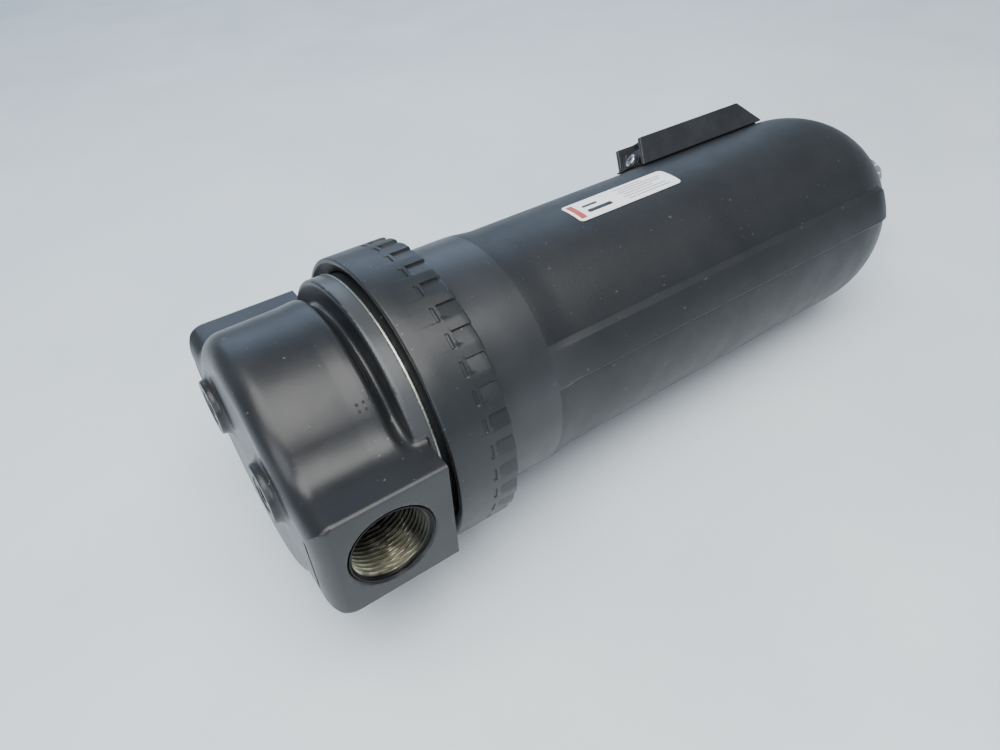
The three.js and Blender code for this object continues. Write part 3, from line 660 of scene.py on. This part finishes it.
def collar_shape(x, r, angle):
    """Cuts the wedge-shaped grip pockets and the short slit in front of each one."""
    turn = (angle - GRIP_FIRST_DEG) % (360.0 / GRIP_COUNT)
    turn = np.where(turn > 9.7, turn - 10.0, turn)
    wedge = np.clip(1.0 - turn / GRIP_SWEEP_DEG, 0.0, 1.0) * step(turn, 0.0, 0.28)
    pocket = wedge * step(x, GRIP_X, 0.35) * GRIP_DEPTH
    slit = step(turn, 0.2, 0.3) * (1.0 - step(turn, 5.4, 0.5))
    slit = slit * step(x, SLIT_X[0], 0.3) * (1.0 - step(x, SLIT_X[1], 0.3)) * SLIT_DEPTH
    outer = np.clip((r - (COLLAR_R - 1.2)) / 0.4, 0.0, 1.0)
    return r - outer * np.maximum(pocket, slit)


def collar_angles():
    """Angles at which the collar's mesh is cut, close together at the walls of each pocket."""
    stations = [-0.24, -0.10, 0.06, 0.18, 0.4, 0.9, 1.8, 2.8, 3.8, 4.8, 5.15, 5.5, 5.8, 6.1, 7.2, 8.4]
    pitch = 360.0 / GRIP_COUNT
    return [GRIP_FIRST_DEG + k * pitch + s for k in range(GRIP_COUNT) for s in stations]


def collar_outline():
    corners = round_corners([
        (COLLAR_X[0], COLLAR_R - 1.9, 0.15), (COLLAR_X[0], COLLAR_R, 0.9), (COLLAR_X[1], COLLAR_R, 0.9),
        (COLLAR_X[1], NECK_R + 0.7, 0.4), (55.0, NECK_R + 0.7, 0.3), (55.0, 59.4),
        (34.0, 59.4, 0.3)])
    out = []
    for a, b in zip(corners, np.roll(corners, -1, axis=0)):
        out.append(a)
        if a[1] > COLLAR_R - 0.01 and b[1] > COLLAR_R - 0.01:
            stops = [SLIT_X[0] - 0.17, SLIT_X[0] + 0.17, SLIT_X[1] - 0.17, SLIT_X[1] + 0.17,
                     GRIP_X - 0.2, GRIP_X, GRIP_X + 0.2, 38.0, 52.0, 55.0]
            out.extend(np.array([s, COLLAR_R]) for s in sorted(stops) if a[0] < s < b[0])
    return np.array(out)


turned("collar", collar_outline(), "collar_paint", "collar", "head_paint", ("lock_collar",),
       angles=collar_angles(), shape=collar_shape, sharp_deg=30.0)


# ---------------------------------------------------------------- bowl
def bowl_profile():
    """The closed section of the bowl: spigot, flange, neck, taper, dome, drain hole and the inside."""
    outer = [(33.5, 46.5), (33.5, 50.6, 0.5), (39.0, 50.6), (39.0, 48.6), (42.4, 48.6), (42.4, 50.6),
             (50.4, 50.6), (50.4, 58.6, 0.4), (53.6, 58.6, 0.4), (53.6, NECK_R), (NECK_END_X, NECK_R)]
    points = list(round_corners(outer)[:-1])
    points.append(np.array([NECK_END_X, NECK_R]))
    for t in np.linspace(0, 1, 9)[1:]:
        ease = t * t * (3 - 2 * t)
        radius = NECK_R + (BOWL_R - NECK_R) * ease - 0.25 * math.sin(t * math.pi)
        points.append(np.array([NECK_END_X + 17.5 * t, radius]))
    stops = [120.0, 140.0, 160.0, 180.0, 196.8, 197.0, 210.0, 230.0, 250.0, 270.0, 290.0, 292.9]
    points.extend(np.array([s, BOWL_R]) for s in stops)
    for t in np.radians(np.linspace(90.0, 17.2, 44)):
        points.append(np.array([DOME_X + DOME_LENGTH * math.cos(t), BOWL_R * math.sin(t)]))
    points.extend([(349.4, 15.6), (351.6, 15.5), (DRAIN_FACE_X, 15.1), (DRAIN_FACE_X, DRAIN_BORE_R)])
    points.extend([(341.0, DRAIN_BORE_R), (341.0, 16.5)])
    for t in np.radians(np.linspace(20.0, 90.0, 16)):
        points.append(np.array([DOME_X + (DOME_LENGTH - 4.5) * math.cos(t), BOWL_BORE_R * math.sin(t)]))
    points.extend([(62.0, BOWL_BORE_R), (58.0, 46.5)])
    return np.array(points)


def bowl_shape(x, r, angle):
    """Raises the two ribs and the flat pad of the level gauge out of the round bowl."""
    outside = (r > BOWL_BORE_R + 0.05) | (x > DOME_X) & (r > 8.0) & (x < 351.0) & is_outer_row(x, r)
    moved = r.copy()
    for rib in RIB_DEG:
        turn = (angle - rib + 180.0) % 360.0 - 180.0
        side_deg = np.where(turn < 0.0, 3.0, 1.4)
        side = np.clip((RIB_HALF_DEG - np.abs(turn)) / side_deg, 0.0, 1.0)
        start = np.clip((x - RIB_X[0]) / 0.6, 0.0, 1.0)
        roll = np.clip((x - RIB_ROLL_X) / (RIB_X[1] - RIB_ROLL_X), 0.0, 1.0)
        height = np.interp(x, [NECK_END_X, RIB_RISE_X], [NECK_R - 0.05, RIB_R])
        crest = RIB_FOOT_R + (height - RIB_FOOT_R) * np.sqrt(1.0 - roll * roll)
        crest = np.where(x < RIB_X[1], crest, 0.0)
        raised = r + np.maximum(crest - r, 0.0) * side * start
        moved = np.where(outside & (x > RIB_X[0]), np.maximum(moved, raised), moved)
    turn = np.abs((angle - GAUGE_DEG + 180.0) % 360.0 - 180.0)
    flat = GAUGE_PAD_H / np.cos(np.radians(np.minimum(turn, 30.0)))
    on_pad = (turn < GAUGE_PAD_HALF_DEG) & (x > GAUGE_FOOT_X - 0.1) & (x < GAUGE_END_X - 2.9) & outside
    return np.where(on_pad, np.maximum(moved, flat), moved)


def is_outer_row(x, r):
    """True for points of the dome's outer skin."""
    reach = np.sqrt(np.clip(1.0 - ((x - DOME_X) / (DOME_LENGTH - 4.5)) ** 2, 0.0, 1.0)) * BOWL_BORE_R
    return r > reach + 0.6


def bowl_angles():
    """Every second degree, and closer together at the edges of the ribs and of the gauge pad."""
    plain_steps = set(np.arange(0.0, 360.0, 2.0))
    for rib in RIB_DEG:
        for offset in (-10.2, -10.0, -9.5, -8.9, -8.3, -7.8, -7.3, 7.3, 7.8, 8.3, 8.9, 9.5, 10.0, 10.2):
            plain_steps.add((rib + offset) % 360.0)
    for offset in (-8.6, -8.4, 8.4, 8.6):
        plain_steps.add(GAUGE_DEG + offset)
    return sorted(plain_steps)


bowl = turned("bowl_shell", bowl_profile(), "bowl_paint", "bowl", "bowl_paint", ("bowl_casting",),
              angles=bowl_angles(), shape=bowl_shape, sharp_deg=30.0)
# The neck takes a lighter copy of the bowl paint, a painted highlight.
bowl.data.materials.append(MATERIALS["bowl_neck_paint"])
# The rib ramps take the rib paint, whose lighter start is a painted highlight.
bowl.data.materials.append(MATERIALS["bowl_rib_paint"])
for polygon in bowl.data.polygons:
    place = polygon.center
    degrees = math.degrees(math.atan2(place.z, place.y)) % 360.0
    on_rib = min(abs(degrees - rib) for rib in RIB_DEG) < RIB_HALF_DEG
    if place.x < (NECK_END_X + 0.05) * MM:
        polygon.material_index = 1
    elif on_rib and place.x < (RIB_RISE_X + 20.0) * MM:
        polygon.material_index = 2


# ---------------------------------------------------------------- printed label and casting marks
def on_cylinder(x, angle_deg, radius):
    a = math.radians(angle_deg)
    return (x, radius * math.cos(a), radius * math.sin(a))


def curved_patch(name, x0, x1, deg0, deg1, radius, thick, look, corner=0.0, stands_for=(),
                 body="bowl", slot="label"):
    """A thin patch that follows a round body, with rounded corners."""
    outline = []
    if corner > 0:
        c_deg = math.degrees(corner / radius)
        for cx, cd, start in ((x1 - corner, deg1 - c_deg, 0), (x0 + corner, deg1 - c_deg, 90),
                              (x0 + corner, deg0 + c_deg, 180), (x1 - corner, deg0 + c_deg, 270)):
            for k in range(7):
                t = math.radians(start + 90 * k / 6)
                outline.append((cx + corner * math.cos(t), cd + c_deg * math.sin(t)))
    else:
        outline = [(x1, deg1), (x0, deg1), (x0, deg0), (x1, deg0)]
    dense = refine(np.array(outline), 1.2)
    middle = ((x0 + x1) / 2, (deg0 + deg1) / 2)
    rings = [1.0, 0.66, 0.33]
    verts = []
    for r, fractions in ((radius + thick, rings), (radius, [1.0])):
        for f in fractions:
            verts.extend(on_cylinder(middle[0] + (x - middle[0]) * f, middle[1] + (deg - middle[1]) * f, r)
                         for x, deg in dense)
    n = len(dense)
    verts.append(on_cylinder(*middle, radius + thick))
    verts.append(on_cylinder(*middle, radius))
    top, bottom = len(verts) - 2, len(verts) - 1
    faces = []
    for k in range(n):
        m = (k + 1) % n
        for level in range(2):
            faces.append([level * n + m, level * n + k, (level + 1) * n + k, (level + 1) * n + m])
        faces.append([2 * n + m, 2 * n + k, top])
        faces.append([k, m, 3 * n + m, 3 * n + k])
        faces.append([3 * n + k, 3 * n + m, bottom])
    return add_mesh(name, verts, faces, look, body, slot, stands_for)


for column, mark_x in enumerate(MARK_X):
    for row, mark_deg in enumerate(MARK_DEG):
        curved_patch(f"casting_mark_{column}_{row}", mark_x - MARK_HALF_X, mark_x + MARK_HALF_X,
                     mark_deg - MARK_HALF_DEG, mark_deg + MARK_HALF_DEG,
                     head_outline_radius(mark_x) - 0.1, 0.2, "rubber", 0.5, body="head", slot="head_paint")

curved_patch("label_film", *LABEL_X, *LABEL_DEG, LABEL_R, LABEL_THICK, "label", 2.2, ("rating_label",))
curved_patch("label_stripe", 138.2, 141.4, 83.6, 96.2, INK_R, INK_THICK, "label_accent")
curved_patch("label_title_bar", 144.5, 158.5, 91.5, 94.0, INK_R, INK_THICK, "label_ink")
curved_patch("label_short_bar", 144.5, 153.0, 87.2, 88.9, INK_R, INK_THICK, "label_ink")
for row in range(6):
    start_x = 166.0 + (row % 2) * 1.5
    end_x = start_x + (26.0 if row % 3 else 18.0)
    start_deg = 84.2 + row * 2.1
    curved_patch(f"label_line_{row}", start_x, end_x, start_deg, start_deg + 0.6, INK_R, INK_THICK,
                 "label_grey")

# ---------------------------------------------------------------- level gauge
GAUGE_TURN = np.array(Matrix.Rotation(math.radians(GAUGE_DEG - 90.0), 3, "X"))


def above_line(p, a, b):
    """Distance above the line from a to b in the X and Z plane."""
    direction = np.array(b, float) - np.array(a, float)
    direction /= np.linalg.norm(direction)
    return (p[..., 0] - a[0]) * -direction[1] + (p[..., 2] - a[1]) * direction[0]


def wall_field(p, w0, w1):
    """A side wall of the guard, leaning at the head end and bevelled at the drain end."""
    wall = box_field(p, (GAUGE_WALL_X - 1.0, w0, GAUGE_WALL_H), (GAUGE_END_X - 0.7, w1, GAUGE_TOP_H), 0.3)
    lean = above_line(p, (GAUGE_WALL_X, GAUGE_WALL_H), (GAUGE_WALL_X + GAUGE_LEAN, GAUGE_TOP_H))
    return smooth_cut(wall, -lean, 0.5)


def guard_field(p):
    """The guard: block, side walls, bevel, and a low foot with a ramp and a cheek for the upper screw."""
    w = GAUGE_INNER_W
    base = GAUGE_BASE_H
    block_end = GAUGE_END_X - 2.0
    foot_hi = (GAUGE_BLOCK_X + 1.0, w + 0.3, GAUGE_FOOT_H)
    walls = np.minimum(wall_field(p, -GAUGE_HALF_W, -w), wall_field(p, w, GAUGE_HALF_W))
    block = box_field(p, (GAUGE_BLOCK_X, -GAUGE_HALF_W, base), (block_end, GAUGE_HALF_W, GAUGE_TOP_H), 0.3)
    low_sides = box_field(p, (GAUGE_BLOCK_X - 1.0, -w - 0.3, base), (block_end, w + 0.3, GAUGE_TOP_H), 0.3)
    ramp = box_field(p, (GAUGE_FOOT_X, -5.0, base), foot_hi, 0.4)
    slope = above_line(p, (UPPER_SCREW[0] - 2.0, UPPER_SCREW[1] - 2.0), UPPER_SCREW)
    ramp = cut(ramp, np.maximum(57.2 - p[..., 2], -slope))
    cheek = box_field(p, (GAUGE_FOOT_X + 2.0, w - 4.4, base), foot_hi, 0.4)
    lean = above_line(p, (GAUGE_FOOT_X + 3.0, base), (GAUGE_FOOT_X + 6.6, GAUGE_FOOT_H))
    foot = np.minimum(ramp, smooth_cut(cheek, -lean, 0.4))
    solid = np.minimum(np.minimum(walls, np.minimum(block, low_sides)), foot)
    bevel = above_line(p, (GAUGE_BEVEL_X, GAUGE_TOP_H), (GAUGE_BEVEL_X + 10.0, GAUGE_TOP_H - 10.0))
    solid = smooth_cut(solid, -bevel, 0.7)
    window = box_field(p, (WINDOW_X[0], -WINDOW_HALF_W, 58.4), (WINDOW_X[1], WINDOW_HALF_W, 80.0), 1.2)
    mouth = box_field(p, (WINDOW_X[0] - 1.4, -5.0, 66.9), (WINDOW_X[1] + 1.4, 5.0, 80.0), 0.4)
    tube = rod_field(p, 0, *TUBE_BORE_X, TUBE_BORE_R, (0.0, TUBE_H))
    for opening in (window, mouth, tube, screw_room(p, UPPER_SCREW, 1.0), screw_room(p, LOWER_SCREW, -1.0)):
        solid = cut(solid, opening)
    return solid


def screw_room(p, seat, inward):
    """The counterbore and clearance hole of a gauge screw that leans 45 degrees."""
    along = (inward * (p[..., 0] - seat[0]) - (p[..., 2] - seat[1])) * math.sqrt(0.5)
    across = ((p[..., 0] - seat[0]) + inward * (p[..., 2] - seat[1])) * math.sqrt(0.5)
    radius = np.hypot(across, p[..., 1])
    head_room = np.maximum(radius - (SCREW_HEAD_R + 0.3), np.maximum(along, -4.0 - along))
    return np.minimum(head_room, np.maximum(radius - (SCREW_R + 0.3), np.abs(along - 3.0) - 8.0))


field_piece("level_gauge_guard", guard_field, (196.1, -12.2, 53.9), (298.3, 12.3, 69.4),
            0.45, "black_plastic", "bowl", "black_plastic", ("gauge_guard",),
            turn=GAUGE_TURN)


def pan_screw(name, seat, along_x, stands_for):
    """A pan-head screw with a cross recess, leaning 45 degrees. along_x says which way its head points."""
    def field(p):
        head_part = rod_field(p, 0, -0.2, 2.3, SCREW_HEAD_R, rounding=0.8)
        shank = rod_field(p, 0, -SCREW_LENGTH, 0.5, SCREW_R)
        cross = np.minimum(box_field(p, (0.9, -2.0, -0.45), (4.0, 2.0, 0.45), 0.15),
                           box_field(p, (0.9, -0.45, -2.0), (4.0, 0.45, 2.0), 0.15))
        return cut(np.minimum(head_part, shank), cross)

    verts, quads = contour(field, (-10.2, -4.2, -4.3), (3.1, 4.3, 4.2), 0.3)
    out = Vector((along_x, 0, 1)).normalized()
    turn = np.array(out.to_track_quat("X", "Z").to_matrix())
    place = np.array((seat[0] + 0.2 * along_x, 0.0, seat[1] + 0.2))
    placed = (verts @ turn.T + place) @ GAUGE_TURN.T
    return add_mesh(name, placed, quads, "steel", "bowl", "steel", stands_for)


pan_screw("screw_upper", UPPER_SCREW, -1, ("gauge_screw_upper",))
pan_screw("screw_lower", LOWER_SCREW, 1, ("gauge_screw_lower",))


# ---------------------------------------------------------------- drain outside the bowl
def drain_nut_field(p):
    """A hexagon nut, chamfered on both sides, 26 mm across its flats."""
    start, end = DRAIN_FACE_X + 2.1, DRAIN_FACE_X + 8.6
    nut = hex_field(p, 0, start, end, 26.0)
    chamfer = np.maximum(cone_field(p, 0, end, 14.0, -1.7), cone_field(p, 0, start, 14.0, 1.7))
    return cut(np.maximum(nut, chamfer), rod_field(p, 0, start - 4, end + 4, DRAIN_BORE_R))


field_piece("drain_lock_nut", drain_nut_field, (353.1, -16.2, -16.3), (361.6, 16.3, 16.2), 0.5,
            "brass", "bowl", "brass", ("drain_nut",))
turned_piece("drain_gasket", [(352.3, 9.3, 0.1), (352.3, 15.0, 0.3), (353.8, 15.0, 0.3), (353.8, 9.3, 0.1)],
             "fibre", "bowl", "fibre", ("drain_washer",), 64)


def knob_shape(x, r, angle):
    """Cuts twelve finger flutes into the knob's rim."""
    flute = np.abs(((angle + 15.0) % 30.0) - 15.0) / 15.0
    depth = np.clip(1.0 - flute / 0.62, 0.0, 1.0)
    depth = depth * depth * (3 - 2 * depth) * 0.9
    outer = np.clip((r - 11.0) / 1.5, 0.0, 1.0) * np.clip((DRAIN_FACE_X + 23.6 - x) / 1.2, 0.0, 1.0)
    return r - depth * outer


KNOB_X = DRAIN_FACE_X + 9.2
knob_outline = refine(round_corners([
    (KNOB_X, 9.3, 0.2), (KNOB_X, 13.0, 0.9), (KNOB_X + 15.5, 13.0, 1.4), (KNOB_X + 15.5, 6.8, 0.3),
    (KNOB_X + 6.0, 6.8), (KNOB_X + 6.0, 9.3)]), 1.2)
turned("drain_hand_knob", knob_outline, "nickel", "drain_knob", "brass", ("drain_knob",), 180,
       shape=knob_shape)


def barbed_profile():
    """The outlet stem: a plain stretch and four hose barbs."""
    start, tip = DRAIN_FACE_X + 15.5, DRAIN_TIP_X
    points = [(start, 2.4), (start, 6.3, 0.2), (tip - 13.0, 6.3, 0.2)]
    for k in range(4):
        barb = tip - 12.0 + 3.0 * k
        points.extend([(barb, 5.3), (barb + 0.2, 6.35, 0.12), (barb + 2.8, 5.4, 0.1)])
    points.append((tip, 4.9, 0.3))
    points.append((tip, 2.4, 0.3))
    return points


turned_piece("drain_tail", barbed_profile(), "nickel", "drain_outlet", "nickel", ("drain_stem",), 64)

# ---------------------------------------------------------------- seals, element and float inside
# Piece, (x, r, fillet) corners, material, body, slot, the CAD piece it stands for, steps round the circle.
INNER = [
    ("mouth_o_ring", [(39.5, 48.9, 1.15), (41.9, 48.9, 1.15), (41.9, 50.7, 0.85), (39.5, 50.7, 0.85)],
     "rubber", "bowl", "rubber", "bowl_o_ring", 128),
    ("slip_ring", [(53.9, 56.9, 0.2), (54.7, 56.9, 0.2), (54.7, 59.0, 0.2), (53.9, 59.0, 0.2)],
     "steel", "bowl", "steel", "collar_slip_ring", 128),
    ("element_seal", [(36.3, 14.0, 0.5), (38.3, 14.0, 0.5), (38.3, 20.0, 0.5), (36.3, 20.0, 0.5)],
     "rubber", "head", "rubber", "element_gasket", 64),
    ("element_upper_cap", [(38.6, 12.0, 0.3), (38.6, 36.0, 1.2), (43.6, 36.0, 0.3), (43.6, 34.4, 0.3),
                           (40.6, 34.4, 0.4), (40.6, 12.0, 0.3)],
     "black_plastic", "head", "black_plastic", "element_top_cap", 96),
    ("element_lower_cap", [(240.0, 4.6, 0.3), (240.0, 36.0, 1.2), (235.0, 36.0, 0.3), (235.0, 34.4, 0.3),
                           (238.0, 34.4, 0.4), (238.0, 4.6, 0.3)],
     "black_plastic", "head", "black_plastic", "element_bottom_cap", 96),
    ("element_flat_washer", [(240.3, 4.3, 0.1), (240.3, 10.0, 0.3), (241.9, 10.0, 0.3), (241.9, 4.3, 0.1)],
     "steel", "head", "steel", "element_washer", 48),
    ("quiet_zone_dish", [(253.0, 4.3), (253.0, 30.0, 2.0), (257.0, 42.0, 0.3), (258.4, 42.0, 0.3),
                         (254.4, 29.6, 2.0), (254.4, 4.3)],
     "black_plastic", "head", "black_plastic", "quiet_zone_baffle", 96),
    ("drain_inner_seal", [(340.4, 10.0, 0.12), (340.8, 10.0, 0.12), (340.8, 13.6, 0.12), (340.4, 13.6, 0.12)],
     "rubber", "bowl", "rubber", "drain_seal", 64),
    ("float_cup", [(297.0, 5.5, 0.3), (297.0, 24.0, 2.2), (331.0, 24.0, 2.2), (331.0, 5.5, 0.3)],
     "white_plastic", "float", "white_plastic", "drain_float", 96),
    ("float_end_stop", [(281.5, 0.02), (281.5, 8.0, 0.4), (283.7, 8.0, 0.4), (283.7, 0.02)],
     "steel", "bowl", "steel", "float_stop", 48),
    ("float_valve_pin", [(303.0, 0.02), (303.0, 1.8, 0.3), (364.0, 1.8, 0.9), (364.0, 0.02)],
     "steel", "float", "steel", "drain_valve_pin", 32),
    ("drain_inner_body", [(284.0, 0.02), (284.0, 5.0, 0.6), (336.0, 5.0), (336.0, 14.0, 0.4),
                          (340.2, 14.0, 0.4), (340.2, 9.0), (366.0, 9.0, 0.5), (366.0, 2.6),
                          (292.0, 2.6), (292.0, 0.02)],
     "brass", "bowl", "brass", "drain_body", 64),
]
for name, points, look, body, slot, node, segments in INNER:
    turned_piece(name, points, look, body, slot, (node,), segments)


def rod_thread_shape(x, r, angle):
    """A fine rolled thread on the last part of the tie rod."""
    phase = ((x - angle / 360.0 * 1.25) / 1.25) % 1.0
    threaded = (x > 236.0) & (r > 3.5)
    return np.where(threaded, r - 0.5 * np.abs(phase * 2 - 1), r)


rod_outline = [[-22.4, 0.02], [-22.4, 3.4], [-21.8, 4.0]]
rod_outline += [[x, 4.0] for x in np.linspace(0.0, 236.0, 6)]
rod_outline += [[x, 4.0] for x in np.arange(236.3, 261.4, 0.31)]
rod_outline += [[262.0, 3.3], [262.0, 0.02]]
turned("tie_rod_shaft", np.array(rod_outline), "steel", "head", "steel", ("tie_rod",), 32,
       shape=rod_thread_shape)


def small_nut(name, start, end, node):
    """A chamfered hexagon nut on the tie rod, 13 mm across its flats."""
    def field(p):
        nut = hex_field(p, 0, start, end, 13.0)
        chamfer = np.maximum(cone_field(p, 0, end, 6.9, -1.7), cone_field(p, 0, start, 6.9, 1.7))
        return cut(np.maximum(nut, chamfer), rod_field(p, 0, start - 4, end + 4, 4.3))
    lo, hi = (start - 1.1, -8.2, -8.3), (end + 1.2, 8.3, 8.2)
    field_piece(name, field, lo, hi, 0.4, "steel", "head", "steel", (node,))


small_nut("element_hex_nut", 242.2, 248.7, "element_nut")
small_nut("dish_hex_nut", 254.7, 259.7, "baffle_nut")


PLEATS = 32


def pleat_shape(x, r, angle):
    """Folds the outer side of the filter paper, each pleat slightly uneven along its length."""
    pleat = angle / 360.0 * PLEATS
    fold = np.abs((pleat % 1.0) * 2 - 1)
    bulge = 0.25 * np.sin(x * 0.35 + np.floor(pleat) * 1.7)
    return np.where(r > 21.0, 25.6 + 8.0 * fold ** 0.85 + bulge * fold * 0.5, r)


pleat_outline = [[40.9, 19.6]] + [[x, 33.0] for x in np.linspace(40.9, 237.7, 60)] + [[237.7, 19.6]]
turned("pleated_media", np.array(pleat_outline), "media", "head", "media", ("element_media",), PLEATS * 12,
       shape=pleat_shape, sharp_deg=50.0)

# CAD pieces whose shape is kept get their finish here.
KEPT_LOOKS = {
    "deflector": "white_plastic",
    "element_core": "steel",
    "gauge_gasket": "rubber",
    "gauge_tube": "clear",
}
for node, look in KEPT_LOOKS.items():
    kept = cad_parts[node]
    kept.data.materials.clear()
    kept.data.materials.append(MATERIALS[look])

# ---------------------------------------------------------------- floor, light and camera
FLOOR_SLOPE = math.asin((COLLAR_R - BOWL_R) / (DOME_X - COLLAR_X[1] + 4.0))
FLOOR_TOUCH = Vector((COLLAR_X[1] - 1.0, 0.0, -COLLAR_R)) * MM
FLOOR_NORMAL = Vector((-math.sin(FLOOR_SLOPE), 0.0, math.cos(FLOOR_SLOPE)))
FLOOR_HALF_SIZE = 6.0
FLOOR_GAP = 0.0006
WORLD_COLOUR = (0.66, 0.76, 0.88, 1)
WORLD_STRENGTH = 0.42
CAMERA_PLACE = (-0.05098, -0.22360, 0.21116)
CAMERA_RIGHT = (0.81828, -0.57335, -0.04099)
CAMERA_AHEAD = (0.41384, 0.63713, -0.65023)
CAMERA_LENS = 25.92
LIGHTS_AIM = (0.10, 0.0, 0.0)
# Name, place, width and height, watts, colour.
LIGHTS = [
    ("overhead", (-0.15, -0.35, 1.2), (1.6, 1.1), 33.0, (1.0, 0.985, 0.96)),
    ("side_fill", (-1.0, -0.7, 0.45), (0.9, 0.6), 6.0, (0.92, 0.96, 1.0)),
    ("back_glow", (0.5, 1.3, 0.75), (2.2, 0.8), 10.0, (0.55, 0.74, 1.0)),
]


def floor_material():
    n = Nodes("studio_floor")
    patches = n.spread(n.noise(160, 4), 0.3, 0.7, 0.0, 1.0)
    tone = n.mix(patches, (0.68, 0.75, 0.80, 1), (0.78, 0.84, 0.87, 1))
    return n.finish(tone, n.spread(n.noise(60, 5), 0.3, 0.7, 0.38, 0.52), n.bump(n.noise(1.2, 2), 0.02))


def add_floor():
    mesh = bpy.data.meshes.new("studio_floor")
    size = FLOOR_HALF_SIZE
    corners = [(-size, -size, 0), (size, -size, 0), (size, size, 0), (-size, size, 0)]
    mesh.from_pydata(corners, [], [(0, 1, 2, 3)])
    mesh.materials.append(floor_material())
    floor = bpy.data.objects.new("studio_floor", mesh)
    bpy.context.scene.collection.objects.link(floor)
    floor.rotation_mode = "QUATERNION"
    floor.rotation_quaternion = FLOOR_NORMAL.to_track_quat("Z", "Y")
    floor.location = FLOOR_TOUCH - FLOOR_NORMAL * FLOOR_GAP


def add_area_light(name, place, size, power, color):
    data = bpy.data.lights.new(name, "AREA")
    data.shape = "RECTANGLE"
    data.size, data.size_y = size
    data.energy = power
    data.color = color
    lamp = bpy.data.objects.new(name, data)
    lamp.location = place
    lamp.rotation_mode = "QUATERNION"
    lamp.rotation_quaternion = (Vector(place) - Vector(LIGHTS_AIM)).to_track_quat("Z", "Y")
    bpy.context.scene.collection.objects.link(lamp)


def set_world():
    world = bpy.data.worlds.new("studio")
    world.use_nodes = True
    tree = world.node_tree
    background = tree.nodes["Background"]
    background.inputs["Color"].default_value = WORLD_COLOUR
    background.inputs["Strength"].default_value = WORLD_STRENGTH
    bpy.context.scene.world = world


def add_camera():
    data = bpy.data.cameras.new("camera")
    data.sensor_width = 36.0
    data.lens = CAMERA_LENS
    data.clip_start = 0.01
    data.clip_end = 60.0
    camera = bpy.data.objects.new("camera", data)
    right = Vector(CAMERA_RIGHT).normalized()
    ahead = Vector(CAMERA_AHEAD).normalized()
    up = right.cross(ahead)
    turn = Matrix((right, up, -ahead)).transposed()
    camera.matrix_world = Matrix.Translation(CAMERA_PLACE) @ turn.to_4x4()
    bpy.context.scene.collection.objects.link(camera)
    bpy.context.scene.camera = camera


add_floor()
set_world()
for light in LIGHTS:
    add_area_light(*light)
add_camera()
